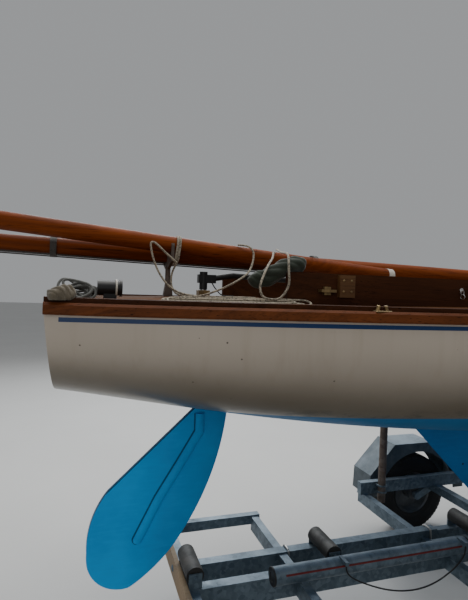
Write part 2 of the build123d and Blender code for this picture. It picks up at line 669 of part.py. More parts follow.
# Axle and wheels
axle_top_z = RAIL_LOW_Z
axle_mid_z = axle_top_z - AXLE_SIZE / 2
axle = block(AXLE_X - AXLE_SIZE / 2, AXLE_X + AXLE_SIZE / 2, -AXLE_HALF_LENGTH, AXLE_HALF_LENGTH,
             axle_top_z - AXLE_SIZE, axle_top_z)
for side in (1, -1):
    arm_y = side * (AXLE_HALF_LENGTH + ARM_WIDTH / 2)
    arm = side_profile(bar_outline((AXLE_X, axle_mid_z), (WHEEL_X, TYRE_RADIUS), 46), ARM_WIDTH / 2, arm_y)
    axle += arm
    axle += across(WHEEL_X, TYRE_RADIUS, *sorted((side * AXLE_HALF_LENGTH, side * STUB_END_Y)), STUB_RADIUS)
    boss_low_y, boss_high_y = sorted((side * AXLE_HALF_LENGTH, side * (AXLE_HALF_LENGTH + ARM_WIDTH)))
    axle += across(WHEEL_X, TYRE_RADIUS, boss_low_y, boss_high_y, 26)
    axle += across(AXLE_X, axle_mid_z, boss_low_y, boss_high_y, 30)
export("axle", axle)


def turned(points):
    """Ring made by turning a closed outline of (radius, y) pairs about the wheel's own axis."""
    face = make_face(Polyline(*[(radius, y, 0) for radius, y in points], close=True))
    return revolve(face, Axis((0, 0, 0), (0, 1, 0)), 360)


half = TYRE_WIDTH / 2
tyre_points = (
    (RIM_RADIUS, -half + 16), (RIM_RADIUS + 14, -half + 4), (200, -half),
    (TYRE_RADIUS - TYRE_SHOULDER, -half + 4), (TYRE_RADIUS - 6, -half + 16), (TYRE_RADIUS, -half + 34),
)
tyre_points += tuple((radius, -y) for radius, y in reversed(tyre_points))
tyre = turned(tyre_points)
rim_half = RIM_WIDTH / 2
bore = STUB_RADIUS + RUNNING_GAP
rim_points = (
    (bore, -66), (HUB_RADIUS, -66), (HUB_RADIUS, 2), (RIM_RADIUS - 22, 2), (RIM_RADIUS - 8, -rim_half + 8),
    (RIM_RADIUS, -rim_half), (RIM_RADIUS, rim_half), (RIM_RADIUS - 6, rim_half), (RIM_RADIUS - 16, 10),
    (70, 10), (50, 22), (34, 40), (0, 40), (0, -20), (bore, -20),
)
rim = turned(rim_points)
for name, side in (("port", 1), ("starboard", -1)):
    hub = Location((WHEEL_X, side * TRACK_HALF, TYRE_RADIUS), (0, 0, 0 if side > 0 else 180))
    export("tyre_" + name, tyre.moved(hub))
    export("rim_" + name, rim.moved(hub))

# Mudguards
guard_face = make_face(Polyline(*[(WHEEL_X + x, 0, z) for x, z in GUARD_PROFILE], close=True))
guard_inside = offset(guard_face, -GUARD_SHEET)
guard_width = GUARD_OUTER_Y - GUARD_INNER_Y
guard = Pos(0, GUARD_INNER_Y, 0) * extrude(guard_face, guard_width, dir=(0, 1, 0))
guard_hollow = extrude(guard_inside, guard_width - 2 * GUARD_SHEET, dir=(0, 1, 0))
guard -= Pos(0, GUARD_INNER_Y + GUARD_SHEET, 0) * guard_hollow
guard -= across(WHEEL_X, TYRE_RADIUS, GUARD_INNER_Y - 10, GUARD_OUTER_Y + 10, TYRE_RADIUS + GUARD_ARCH_GAP)
guard_reach = GUARD_HALF_LENGTH - GUARD_SHEET
guard -= block(WHEEL_X - guard_reach, WHEEL_X + guard_reach, GUARD_INNER_Y + GUARD_SHEET,
               GUARD_OUTER_Y - GUARD_SHEET, GUARD_FOOT_Z - 10, GUARD_FOOT_Z + 10)
for foot_x in (WHEEL_X - GUARD_HALF_LENGTH + 12, WHEEL_X + GUARD_HALF_LENGTH - 52):
    guard += block(foot_x, foot_x + 40, RAIL_OUTER_Y, GUARD_INNER_Y, *GUARD_STAY_Z)
export("mudguard_port", guard)
export("mudguard_starboard", mirrored(guard))

# Hull posts
posts, pads, clamps = [], [], []
post_y = RAIL_INNER_Y - POST_RADIUS
for x in POST_PLACES:
    post = rod((x, post_y, POST_FOOT_Z), (x, post_y, POST_TOP_Z), POST_RADIUS)
    pad = block(x - PAD_HALF_LENGTH, x + PAD_HALF_LENGTH, post_y - PAD_HALF_WIDTH, post_y + PAD_HALF_WIDTH,
                POST_TOP_Z, PAD_REACH_Z) - outer_hull
    posts += [post, mirrored(post)]
    pads += [pad, mirrored(pad)]
    for z in CLAMP_LEVELS:
        strap = rod((x, post_y, z), (x, post_y, z + CLAMP_BAR), POST_RADIUS + CLAMP_BAR)
        strap += block(x - POST_RADIUS - CLAMP_BAR, x + POST_RADIUS + CLAMP_BAR, post_y, RAIL_INNER_Y,
                       z, z + CLAMP_BAR)
        strap -= rod((x, post_y, z - 1), (x, post_y, z + CLAMP_BAR + 1), POST_RADIUS)
        strap -= block(x - POST_RADIUS, x + POST_RADIUS, post_y, RAIL_OUTER_Y, z - 1, z + CLAMP_BAR + 1)
        strap -= block(x - 60, x + 60, RAIL_INNER_Y, RAIL_OUTER_Y, z - 1, z + CLAMP_BAR + 1)
        clamps += [strap, mirrored(strap)]
export("hull_posts", Compound(children=posts))
export("hull_pads", Compound(children=pads))
export("post_clamps", Compound(children=clamps))

# Keel rollers
brackets = []
roller_body = across(0, 0, -ROLLER_HALF_LENGTH, ROLLER_HALF_LENGTH, ROLLER_RADIUS)
roller_body -= across(0, 0, -ROLLER_HALF_LENGTH - 1, ROLLER_HALF_LENGTH + 1, ROLLER_PIN_RADIUS + RUNNING_GAP)
bracket_y = ROLLER_HALF_LENGTH + 3
pin_end_y = bracket_y + BRACKET_THICKNESS
for x in [place for name, place in FREE_ROLLERS] + list(LOADED_ROLLERS):
    foot_z = BEAM_TOP_Z if x < REAR_BEAM_FORE_X else front_top_z
    stand = across(x, ROLLER_AXIS_Z, -pin_end_y, pin_end_y, ROLLER_PIN_RADIUS)
    for side in (1, -1):
        inner, outer = sorted((side * bracket_y, side * pin_end_y))
        stand += block(x - BRACKET_HALF, x + BRACKET_HALF, inner, outer, foot_z, ROLLER_AXIS_Z + 14)
    brackets.append(stand)
export("roller_brackets", Compound(children=brackets))
for name, x in FREE_ROLLERS:
    export("roller_" + name, Pos(x, 0, ROLLER_AXIS_Z) * roller_body)
loaded = [Pos(x, 0, ROLLER_AXIS_Z) * roller_body for x in LOADED_ROLLERS]
export("keel_rollers", Compound(children=loaded))

# Stowed tube and the cable under it
tube = rod((TUBE_AFT_X, TUBE_Y, TUBE_Z), (TUBE_FORE_X, TUBE_Y, TUBE_Z), TUBE_RADIUS)
tube -= rod((TUBE_AFT_X - 1, TUBE_Y, TUBE_Z), (TUBE_FORE_X + 1, TUBE_Y, TUBE_Z), TUBE_RADIUS - TUBE_WALL)
for x in CLIP_PLACES:
    clip = block(x - 8, x + 8, CABLE_Y - 8, TUBE_Y, CLIP_LOW_Z, CLIP_TOP_Z)
    tube += clip - rod((x - 9, TUBE_Y, TUBE_Z), (x + 9, TUBE_Y, TUBE_Z), TUBE_RADIUS - TUBE_WALL)
for aft_x, outer_y, top_z, height in CROSS_MEMBERS:
    rest = block(aft_x + 4, aft_x + 36, TUBE_Y - 24, TUBE_Y + 24, top_z, TUBE_Z - 20)
    tube += rest - rod((aft_x, TUBE_Y, TUBE_Z), (aft_x + 40, TUBE_Y, TUBE_Z), TUBE_RADIUS - TUBE_WALL)
export("stowed_tube", tube)


def cord_tube(route, radius):
    """Tube along straight runs joined by tangent arcs, each as large as its two runs allow."""
    points = [Vector(*point) for point in route]
    edges, radii = [], []
    start = points[0]
    for before, corner, after in zip(points, points[1:], points[2:]):
        back = (before - corner).normalized()
        ahead = (after - corner).normalized()
        reach = 0.45 * min((before - corner).length, (after - corner).length)
        arc_start = corner + back * reach
        half_turn = radians(180 - back.get_angle(ahead)) / 2
        radii.append(round(reach / tan(half_turn)))
        edges.append(Line(start, arc_start))
        edges.append(TangentArc(arc_start, corner + ahead * reach, tangent=-back))
        start = corner + ahead * reach
    edges.append(Line(start, points[-1]))
    path = Wire(edges)
    print("cord", round(path.length), "mm long, bend radii", radii)
    section = Plane(origin=points[0], z_dir=points[1] - points[0]) * Circle(radius)
    return sweep(section, path=path)


cable_route = [(x, CABLE_Y, z) for x, z in CABLE_ROUTE]
export("trailer_cable", cord_tube(cable_route, CABLE_RADIUS))

# Drawbar and coupling
bar_face = make_face(Polyline(
    (RAIL_FORE_X, RAIL_INNER_Y, 0), (RAIL_FORE_X, RAIL_OUTER_Y, 0), (HEAD_AFT_X + 120, HEAD_HALF, 0),
    (HEAD_AFT_X - 60, HEAD_HALF, 0), close=True))
drawbar = Pos(0, 0, RAIL_LOW_Z) * extrude(bar_face, RAIL_TOP_Z - RAIL_LOW_Z)
export("drawbar_port", drawbar)
export("drawbar_starboard", mirrored(drawbar))
export("drawbar_head", block(HEAD_AFT_X - 60, HEAD_FORE_X, -HEAD_HALF, HEAD_HALF, RAIL_LOW_Z, RAIL_TOP_Z))
coupling = block(HEAD_FORE_X, NOSE_X, -COUPLING_HALF, COUPLING_HALF, 352, 428)
nose_edges = coupling.edges().filter_by(Axis.Z).group_by(Axis.X)[-1]
coupling = fillet(nose_edges, 34)
coupling -= rod((SOCKET_X, 0, 351), (SOCKET_X, 0, 352 + SOCKET_DEPTH), SOCKET_RADIUS)
coupling += block(HEAD_FORE_X, SOCKET_X + 10, -12, 12, 428, 446)
export("coupling", coupling)
post = block(WINCH_POST_X - WINCH_POST_HALF, WINCH_POST_X + WINCH_POST_HALF,
             -WINCH_POST_HALF, WINCH_POST_HALF, RAIL_TOP_Z, WINCH_POST_TOP_Z)
export("winch_post", post)
stop = block(5900, WINCH_POST_X - WINCH_POST_HALF, -42, 42, 1385, 1450) - outer_hull
stop = stop.solids().sort_by(Axis.X)[-1]
export("bow_stop", stop)
winch_x = WINCH_POST_X + WINCH_POST_HALF
winch = block(winch_x, winch_x + 90, -40, 40, WINCH_Z - 45, WINCH_Z + 45)
winch += across(winch_x + 50, WINCH_Z, 40, 62, 12) + across(winch_x + 50, WINCH_Z, -62, -40, 20)
export("winch", winch)

# Jockey wheel
jockey_tube = rod((JOCKEY_X, JOCKEY_Y, JOCKEY_TUBE_LOW_Z), (JOCKEY_X, JOCKEY_Y, JOCKEY_TUBE_TOP_Z),
                  JOCKEY_TUBE_RADIUS)
jockey_tube -= rod((JOCKEY_X, JOCKEY_Y, JOCKEY_TUBE_LOW_Z - 1), (JOCKEY_X, JOCKEY_Y, 400),
                   JOCKEY_INNER_RADIUS + RUNNING_GAP)
jockey_tube += block(JOCKEY_X - 30, JOCKEY_X + 30, HEAD_HALF, JOCKEY_Y - 10, 352, 412)
jockey_tube -= rod((JOCKEY_X, JOCKEY_Y, JOCKEY_TUBE_LOW_Z - 1), (JOCKEY_X, JOCKEY_Y, 400),
                   JOCKEY_INNER_RADIUS + RUNNING_GAP)
jockey_tube += block(JOCKEY_X - 10, JOCKEY_X + JOCKEY_CRANK, JOCKEY_Y - 8, JOCKEY_Y + 8,
                     JOCKEY_TUBE_TOP_Z, JOCKEY_TUBE_TOP_Z + 16)
export("jockey_tube", jockey_tube)
fork_z = JOCKEY_RADIUS * 2 + 14
fork = rod((JOCKEY_X, JOCKEY_Y, fork_z), (JOCKEY_X, JOCKEY_Y, 398), JOCKEY_INNER_RADIUS)
fork += block(JOCKEY_X - JOCKEY_TRAIL - 25, JOCKEY_X + 25, JOCKEY_Y - 38, JOCKEY_Y + 38, fork_z, fork_z + 8)
for side in (1, -1):
    inner, outer = sorted((JOCKEY_Y + side * 32, JOCKEY_Y + side * 38))
    fork += block(JOCKEY_X - JOCKEY_TRAIL - 20, JOCKEY_X - JOCKEY_TRAIL + 20, inner, outer,
                  JOCKEY_RADIUS - 14, fork_z)
fork += across(JOCKEY_X - JOCKEY_TRAIL, JOCKEY_RADIUS, JOCKEY_Y - 38, JOCKEY_Y + 38, 8)
export("jockey_fork", fork)
jockey_wheel = across(JOCKEY_X - JOCKEY_TRAIL, JOCKEY_RADIUS, JOCKEY_Y - JOCKEY_WIDTH / 2,
                      JOCKEY_Y + JOCKEY_WIDTH / 2, JOCKEY_RADIUS)
jockey_wheel = fillet(jockey_wheel.edges(), 12)
jockey_wheel -= across(JOCKEY_X - JOCKEY_TRAIL, JOCKEY_RADIUS, JOCKEY_Y - 40, JOCKEY_Y + 40, 8 + RUNNING_GAP)
export("jockey_wheel", jockey_wheel)
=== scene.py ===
# %% [markdown]
# # A wooden keelboat on its road trailer
#
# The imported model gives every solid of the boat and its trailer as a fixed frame. This lesson
# keeps the solids whose shape is right and gives them real finishes, and it adds what is too
# fine for solids: rope, canvas, tread, bolts, stripes and fittings. Everything is in metres,
# with +X to the bow and +Z up, and the origin on the floor under the middle of the length.

# %% Load the frame
import math

import bpy
import numpy as np
from mathutils import Matrix, Vector


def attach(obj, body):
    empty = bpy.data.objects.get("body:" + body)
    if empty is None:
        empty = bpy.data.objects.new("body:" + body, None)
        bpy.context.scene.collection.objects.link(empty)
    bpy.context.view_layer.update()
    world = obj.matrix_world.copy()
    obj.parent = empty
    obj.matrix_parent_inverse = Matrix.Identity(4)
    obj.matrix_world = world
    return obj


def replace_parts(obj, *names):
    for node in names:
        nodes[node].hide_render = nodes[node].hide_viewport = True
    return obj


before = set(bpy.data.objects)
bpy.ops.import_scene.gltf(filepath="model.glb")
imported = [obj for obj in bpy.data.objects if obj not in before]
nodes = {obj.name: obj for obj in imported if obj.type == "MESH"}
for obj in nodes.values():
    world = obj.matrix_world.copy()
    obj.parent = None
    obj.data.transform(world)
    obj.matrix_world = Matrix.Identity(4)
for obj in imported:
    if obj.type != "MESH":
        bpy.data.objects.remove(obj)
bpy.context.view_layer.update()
TRANSOM = -2.7                      # the transom's place along X
BASE = "boat_and_trailer"           # the body that most pieces ride on


def put(name, data):
    """New object for some data, in the scene."""
    made = bpy.data.objects.new(name, data)
    bpy.context.scene.collection.objects.link(made)
    return made


# %% [markdown]
# The camera stands where the photographer stood: beside the boat's quarter on the starboard
# side, at eye height, turned a little towards the bow and leaning two degrees. Its direction is
# written as a turn from +Y, a pitch and a roll, and the three axes of its matrix follow.

# %% Camera
CAMERA_PLACE = Vector((-2.59, -1.96, 1.62))
CAMERA_TURN, CAMERA_PITCH, CAMERA_ROLL = math.radians(18), math.radians(-1.2), math.radians(2.0)
FOCAL_PIXELS, FRAME_HEIGHT = 470, 600


def camera_matrix(turn, pitch, roll):
    """Axes of a camera that looks along +Y, turned towards +X, pitched up and rolled."""
    ahead = Vector((math.sin(turn) * math.cos(pitch), math.cos(turn) * math.cos(pitch), math.sin(pitch)))
    right = Vector((math.cos(turn), -math.sin(turn), 0))
    up = right.cross(ahead)
    across = right * math.cos(roll) + up * math.sin(roll)
    above = up * math.cos(roll) - right * math.sin(roll)
    return Matrix((across, above, -ahead)).transposed()


lens = bpy.data.cameras.new("camera")
lens.sensor_fit = "VERTICAL"
lens.sensor_height = 36
lens.lens = FOCAL_PIXELS / FRAME_HEIGHT * lens.sensor_height
lens.clip_end = 120
camera = put("camera", lens)
camera.matrix_world = Matrix.Translation(CAMERA_PLACE) @ camera_matrix(
    CAMERA_TURN, CAMERA_PITCH, CAMERA_ROLL).to_4x4()
bpy.context.scene.camera = camera
print("camera lens", round(lens.lens, 1), "mm")

# %% [markdown]
# The studio is a pale floor and a pale sky, with one broad lamp above, a softer one behind the
# camera and one beyond the boat. The boat stood in a barn lit from its open far side, so the
# lamp beyond is the stronger, and the near side of the hull stays a little in shade.

# %% Floor and light
FLOOR_HALF = 40
LAMPS = (
    # name, place, what it is turned to, size, power, colour
    ("sky_lamp", (-1.0, 0.6, 6.5), (-0.6, 0, 0.8), 6.0, 330, (1.0, 0.99, 0.97)),
    ("far_lamp", (-1.5, 5.5, 5.2), (-0.8, 0, 0.9), 4.5, 300, (0.93, 0.97, 1.0)),
    ("near_lamp", (-4.6, -5.6, 2.6), (-1.2, 0, 0.9), 4.0, 42, (1.0, 0.97, 0.93)),
)
floor = bpy.data.meshes.new("floor")
corners = [(x * FLOOR_HALF, y * FLOOR_HALF, 0) for x, y in ((-1, -1), (1, -1), (1, 1), (-1, 1))]
floor.from_pydata(corners, [], [(0, 1, 2, 3)])
floor.shade_flat()
put("floor", floor)
for name, place, aim, size, power, tint in LAMPS:
    light = bpy.data.lights.new(name, "AREA")
    light.shape = "SQUARE"
    light.size, light.energy, light.color = size, power, tint
    lamp = put(name, light)
    lamp.location = place
    lamp.rotation_euler = (Vector(aim) - Vector(place)).to_track_quat("-Z", "Y").to_euler()
world = bpy.data.worlds.new("studio")
world.use_nodes = True
sky = world.node_tree.nodes["Background"].inputs
sky["Color"].default_value, sky["Strength"].default_value = (0.8, 0.82, 0.84, 1), 0.42
bpy.context.scene.world = world
print("floor", 2 * FLOOR_HALF, "m wide,", len(LAMPS), "lamps")

# %% [markdown]
# Finishes are node materials. A few short helpers keep them readable: one adds a node and fills
# its sockets, one does a sum, two spread a value between two numbers, and one mixes two colours
# by a mask.

# %% Node helpers
SIGNS = {"+": "ADD", "-": "SUBTRACT", "*": "MULTIPLY", "/": "DIVIDE", "<": "LESS_THAN", ">": "GREATER_THAN",
         "max": "MAXIMUM", "abs": "ABSOLUTE", "sign": "SIGN", "fract": "FRACT"}


def add(tree, kind, inputs=None, **settings):
    """One shader node; inputs gives each socket a plain value or another node's output."""
    made = tree.nodes.new("ShaderNode" + kind)
    for name, value in settings.items():
        setattr(made, name, value)
    for name, value in (inputs or {}).items():
        if isinstance(value, bpy.types.NodeSocket):
            tree.links.new(value, made.inputs[name])
        else:
            made.inputs[name].default_value = value
    return made


def calc(tree, left, sign, right=0.0):
    """One maths node: left sign right, on sockets or numbers."""
    return add(tree, "Math", {0: left, 1: right}, operation=SIGNS[sign]).outputs[0]


def ramp(tree, value, start, end, low=0.0, high=1.0):
    """Colour ramp in greys: from low to high while the value runs from start to end."""
    made = add(tree, "ValToRGB", {"Fac": value})
    for point, place, tone in zip(made.color_ramp.elements, (start, end), (low, high)):
        point.position = place
        point.color = (tone, tone, tone, 1)
    return made.outputs["Color"]


def spread(tree, value, start, end, low=0.0, high=1.0, ease="LINEAR"):
    """Map range: from low to high while the value runs from start to end, either way."""
    return add(tree, "MapRange", {"Value": value, "From Min": start, "From Max": end, "To Min": low,
                                  "To Max": high}, interpolation_type=ease).outputs["Result"]


def mix(tree, mask, under, over, mode="MIX"):
    """Colour over another by a mask; each is a colour or a socket."""
    under, over = (tone if isinstance(tone, bpy.types.NodeSocket) else (*tone, 1) for tone in (under, over))
    return add(tree, "Mix", {0: mask, 6: under, 7: over}, data_type="RGBA", blend_type=mode).outputs[2]


def noise(tree, place, scale, detail=4.0, rough=0.55, stretch=None):
    """Noise of a place, after the place is stretched; returns its value."""
    if stretch:
        place = add(tree, "Mapping", {"Vector": place, "Scale": stretch}).outputs["Vector"]
    return add(tree, "TexNoise", {"Vector": place, "Scale": scale, "Detail": detail,
                                  "Roughness": rough}).outputs["Fac"]


def parts(tree, vector):
    """The X, Y and Z of a vector or colour."""
    return add(tree, "SeparateXYZ", {"Vector": vector}).outputs


def facing(tree):
    """The X, Y and Z of the way that a face looks."""
    return parts(tree, add(tree, "NewGeometry").outputs["Normal"])


def start_group(name, numbers, *outputs):
    """Empty shader group with a vector input, some number inputs, and value outputs."""
    group = bpy.data.node_groups.new(name, "ShaderNodeTree")
    group.interface.new_socket("Place", in_out="INPUT", socket_type="NodeSocketVector")
    for label, value in numbers.items():
        socket = group.interface.new_socket(label, in_out="INPUT", socket_type="NodeSocketFloat")
        socket.default_value = value
    for label in outputs:
        group.interface.new_socket(label, in_out="OUTPUT", socket_type="NodeSocketFloat")
    entry = group.nodes.new("NodeGroupInput")
    leave = group.nodes.new("NodeGroupOutput")
    return group, entry.outputs, leave.inputs


def use_group(tree, group, place, **numbers):
    """A group placed in a material; returns its outputs."""
    return add(tree, "Group", {"Place": place, **numbers}, node_tree=group).outputs


print("node helpers ready")

# %% [markdown]
# Effects that several finishes share are groups. Wood grain is noise stretched along the plank
# with darker pores in it. Dust settles where a face looks up. Streaks run down a side and break
# up. Specks are small chips. Zinc flowers are the pale cells on dipped steel.

# %% Shared effects
GRAIN, into, out = start_group("wood_grain", {"Scale": 1.0, "Figure": 0.5}, "Grain", "Pores")
scaled = add(GRAIN, "VectorMath", {0: into["Place"], "Scale": into["Scale"]}, operation="SCALE").outputs[0]
bend = noise(GRAIN, scaled, 1.4, 2.0, 0.5, (0.35, 1.6, 1.6))
bent = add(GRAIN, "CombineXYZ", {"Y": bend, "Z": bend}).outputs[0]
bent_place = add(GRAIN, "VectorMath", {0: scaled, 1: bent}, operation="ADD").outputs[0]
broad = noise(GRAIN, bent_place, 9.0, 5.0, 0.6, (0.16, 3.2, 3.2))
fine = noise(GRAIN, bent_place, 46.0, 3.0, 0.6, (0.06, 3.0, 3.0))
lines = calc(GRAIN, calc(GRAIN, broad, "*", 0.65), "+", calc(GRAIN, fine, "*", 0.35))
figured = calc(GRAIN, calc(GRAIN, lines, "-", 0.5), "*", into["Figure"])
GRAIN.links.new(calc(GRAIN, 0.5, "+", figured), out["Grain"])
pores = noise(GRAIN, scaled, 150.0, 2.0, 0.6, (0.05, 2.0, 2.0))
GRAIN.links.new(ramp(GRAIN, pores, 0.6, 0.72), out["Pores"])

DUST, into, out = start_group("settled_dust", {"Scale": 6.0, "Cover": 0.5}, "Mask")
looks_up = ramp(DUST, facing(DUST)["Z"], 0.25, 0.85)
patches = ramp(DUST, noise(DUST, into["Place"], into["Scale"], 6.0, 0.62), 0.35, 0.68, low=0.15)
DUST.links.new(calc(DUST, looks_up, "*", calc(DUST, patches, "*", into["Cover"])), out["Mask"])

STREAKS, into, out = start_group("run_streaks", {"Scale": 5.0, "Cut": 0.55}, "Mask")
runs = noise(STREAKS, into["Place"], into["Scale"], 4.0, 0.6, (5.0, 5.0, 0.22))
over_cut = calc(STREAKS, calc(STREAKS, runs, "-", into["Cut"]), "*", 5.0)
broken = calc(STREAKS, over_cut, "*", noise(STREAKS, into["Place"], 2.6, 3.0))
broken.node.use_clamp = True
STREAKS.links.new(broken, out["Mask"])

SPECKS, into, out = start_group("small_chips", {"Scale": 14.0, "Size": 0.12}, "Mask")
cells = add(SPECKS, "TexVoronoi", {"Vector": into["Place"], "Scale": into["Scale"]}).outputs
near = calc(SPECKS, cells["Distance"], "<", into["Size"])
rare = calc(SPECKS, parts(SPECKS, cells["Color"])["X"], ">", 0.72)
SPECKS.links.new(calc(SPECKS, near, "*", rare), out["Mask"])

ZINC, into, out = start_group("zinc_flowers", {"Scale": 60.0}, "Tone", "Stain")
flowers = add(ZINC, "TexVoronoi", {"Vector": into["Place"], "Scale": into["Scale"]}).outputs
ZINC.links.new(parts(ZINC, flowers["Color"])["Y"], out["Tone"])
stains = noise(ZINC, into["Place"], 5.0, 7.0, 0.68, (1.0, 1.0, 0.5))
ZINC.links.new(ramp(ZINC, stains, 0.42, 0.7), out["Stain"])
print("shared effects:", ", ".join(group.name for group in (GRAIN, DUST, STREAKS, SPECKS, ZINC)))

# %% [markdown]
# A material starts with its shader, whose plain numbers are set on its own sockets, and ends
# when a colour, a roughness and a bump height are joined to it. The finishes are kept by name,
# apart from the plain materials that come with the frame.

# %% Material helpers
finishes = {}


def new_material(name, **plain):
    """Node tree, shader and place socket of a new finish, with the shader's plain numbers set."""
    finishes[name] = bpy.data.materials.new(name)
    finishes[name].use_nodes = True
    tree = finishes[name].node_tree
    shader = tree.nodes["Principled BSDF"]
    for label, value in plain.items():
        shader.inputs[label.replace("_", " ")].default_value = value
    return tree, shader, tree.nodes.new("ShaderNodeTexCoord").outputs["Object"]


def wire(tree, shader, colour, rough, height=None, depth=0.001, strength=0.5):
    """Join a colour, a roughness and a bump height to the shader."""
    tree.links.new(colour, shader.inputs["Base Color"])
    tree.links.new(rough, shader.inputs["Roughness"])
    if height is not None:
        bump = add(tree, "Bump", {"Height": height, "Distance": depth, "Strength": strength})
        tree.links.new(bump.outputs["Normal"], shader.inputs["Normal"])


def dress(finish, *names):
    """Give solids, or the floor, a finish in all their slots."""
    for name in names:
        mesh = (nodes[name] if name in nodes else bpy.data.objects[name]).data
        mesh.materials.clear()
        mesh.materials.append(finishes[finish])


print("material helpers ready")

# %% [markdown]
# The hull is painted off-white. The paint has faded streaks, small chips, a darkening towards the
# bottom that is partly grime and partly painted shade, a painted shade on the faces that look
# down, and a dull scum line above the blue of the bottom paint, whose edge is one level line.
# Inside, the planking is a pale grey bilge paint, which shows in the cockpit. One material does
# all of them by place.

# %% Hull paint
WATERLINE_Z = 1.168
STRIPE_Z, STRIPE_HALF = 1.5115, 0.0072      # its height at the transom, and half its own height
STRIPE_RISE = 0.0021                        # how it rises forward, per metre squared
STRIPE_START = 0.045                        # forward of the transom
WELL_START, WELL_END = TRANSOM + 0.795, TRANSOM + 3.905
tree, shader, place = new_material("hull_paint", Coat_Weight=0.04, Coat_Roughness=0.3,
                                   Specular_IOR_Level=0.35)
at, look = parts(tree, place), facing(tree)
wobble = calc(tree, calc(tree, noise(tree, place, 3.0, 3.0), "-", 0.5), "*", 0.006)
level = calc(tree, at["Z"], "+", wobble)
forward = calc(tree, at["X"], "-", TRANSOM)

white = mix(tree, noise(tree, place, 1.3, 3.0), (0.42, 0.36, 0.295), (0.52, 0.455, 0.38))
streaks = use_group(tree, STREAKS, place, Scale=3.2, Cut=0.5)["Mask"]
chips = use_group(tree, SPECKS, place, Scale=22.0, Size=0.075)["Mask"]
chipped = mix(tree, chips, mix(tree, streaks, white, (0.42, 0.355, 0.28)), (0.09, 0.075, 0.06))
# Darker towards the bottom: partly grime, partly painted shade.
grime_and_shade = spread(tree, level, 1.5, 1.2, high=0.86, ease="SMOOTHSTEP")
patchy = spread(tree, noise(tree, place, 1.8, 4.0), 0, 1, 0.7, 1.2)
grimy_and_shaded = mix(tree, calc(tree, grime_and_shade, "*", patchy), chipped, (0.115, 0.092, 0.062))
# Painted shade: faces that look down are darkened.
under = spread(tree, look["Z"], -0.3, -0.8, high=0.66, ease="SMOOTHSTEP")
shaded = mix(tree, under, grimy_and_shaded, (0.1, 0.082, 0.056))

rise = calc(tree, calc(tree, forward, "*", forward), "*", STRIPE_RISE)
off_stripe = calc(tree, calc(tree, at["Z"], "-", calc(tree, rise, "+", STRIPE_Z)), "abs")
on_stripe = calc(tree, calc(tree, off_stripe, "<", STRIPE_HALF), "*", calc(tree, forward, ">", STRIPE_START))
striped = mix(tree, on_stripe, shaded, (0.0006, 0.027, 0.11))
scum = spread(tree, level, WATERLINE_Z + 0.045, WATERLINE_Z)
smudge = ramp(tree, noise(tree, place, 9.0, 6.0, 0.75, (1, 1, 2.5)), 0.47, 0.58, high=0.9)
scummed = mix(tree, calc(tree, scum, "*", smudge), striped, (0.014, 0.016, 0.009))
below = calc(tree, level, "<", WATERLINE_Z)
blue = mix(tree, noise(tree, place, 2.2, 5.0, 0.65), (0.002, 0.085, 0.21), (0.004, 0.15, 0.36))
painted = mix(tree, below, scummed, blue)

outward = calc(tree, calc(tree, look["Y"], "*", calc(tree, at["Y"], "sign")), "-", look["Z"])
in_well = calc(tree, calc(tree, at["X"], ">", WELL_START), "*", calc(tree, at["X"], "<", WELL_END))
inside = calc(tree, in_well, "*", calc(tree, outward, "<", 0.02))
bilge_grey = mix(tree, noise(tree, place, 6.0, 5.0), (0.3, 0.3, 0.28), (0.42, 0.41, 0.38))
wire(tree, shader, mix(tree, inside, painted, bilge_grey), spread(tree, below, 0, 1, 0.32, 0.62),
     height=noise(tree, place, 5.0, 4.0), depth=0.002, strength=0.25)
dress("hull_paint", "hull_shell")
print("hull paint, waterline at", WATERLINE_Z)


# %% [markdown]
# Bottom paint on the keel and the rudder is a flat mid blue, darker where it is thin, with chips,
# and darker on the edges that look aft, partly from wear and partly as painted shade. The rudder's
# blue darkens towards its fore edge.

# %% Bottom paint
def bottom_paint(name, dark, light, brushed_over, fade=None):
    """Flat blue paint: patches, brush marks, chips, edges that look aft darker from wear and painted shade;
    darker towards fade's end.
    """
    tree, shader, place = new_material(name, Specular_IOR_Level=0.22)
    patches = mix(tree, noise(tree, place, 3.0, 6.0, 0.6), dark, light)
    marks = ramp(tree, noise(tree, place, 26.0, 3.0, 0.6, (0.5, 1, 3.0)), 0.45, 0.75, high=0.22)
    tone = mix(tree, marks, patches, brushed_over)
    if fade:
        faded = ramp(tree, spread(tree, parts(tree, place)["X"], *fade), 0, 1, 1.0, 0.55)
        tone = mix(tree, 1.0, tone, faded, "MULTIPLY")
    look = facing(tree)
    # Edge-on faces that look aft are darkened: wear on the edges, painted shade on the aft side of the
    # rudder's rib.
    edge_on = calc(tree, calc(tree, look["Y"], "abs"), "<", 0.72)
    edge = calc(tree, calc(tree, edge_on, "*", calc(tree, look["X"], "<", -0.1)), "*", 0.8)
    chips = use_group(tree, SPECKS, place, Scale=11.0, Size=0.07)["Mask"]
    wire(tree, shader, mix(tree, chips, mix(tree, edge, tone, (0.003, 0.03, 0.065)), (0.02, 0.03, 0.05)),
         spread(tree, noise(tree, place, 8.0), 0, 1, 0.42, 0.62),
         height=noise(tree, place, 60.0, 3.0), depth=0.0008, strength=0.3)


bottom_paint("rudder_blue", (0.0012, 0.23, 0.6), (0.002, 0.46, 1.0), (0.004, 0.5, 1.0),
             fade=(TRANSOM + 0.3, TRANSOM + 0.72))
bottom_paint("keel_blue", (0.001, 0.09, 0.27), (0.002, 0.2, 0.54), (0.006, 0.24, 0.56))
dress("rudder_blue", "rudder_blade")
dress("keel_blue", "keel")
print("bottom paint done")

# %% [markdown]
# Varnished wood has several tones here: the dark red-brown rails and coaming, the orange spars,
# the brown laid deck and the pale bare timber. They share the grain group and differ in colours
# and gloss, so one function makes them all from a table.

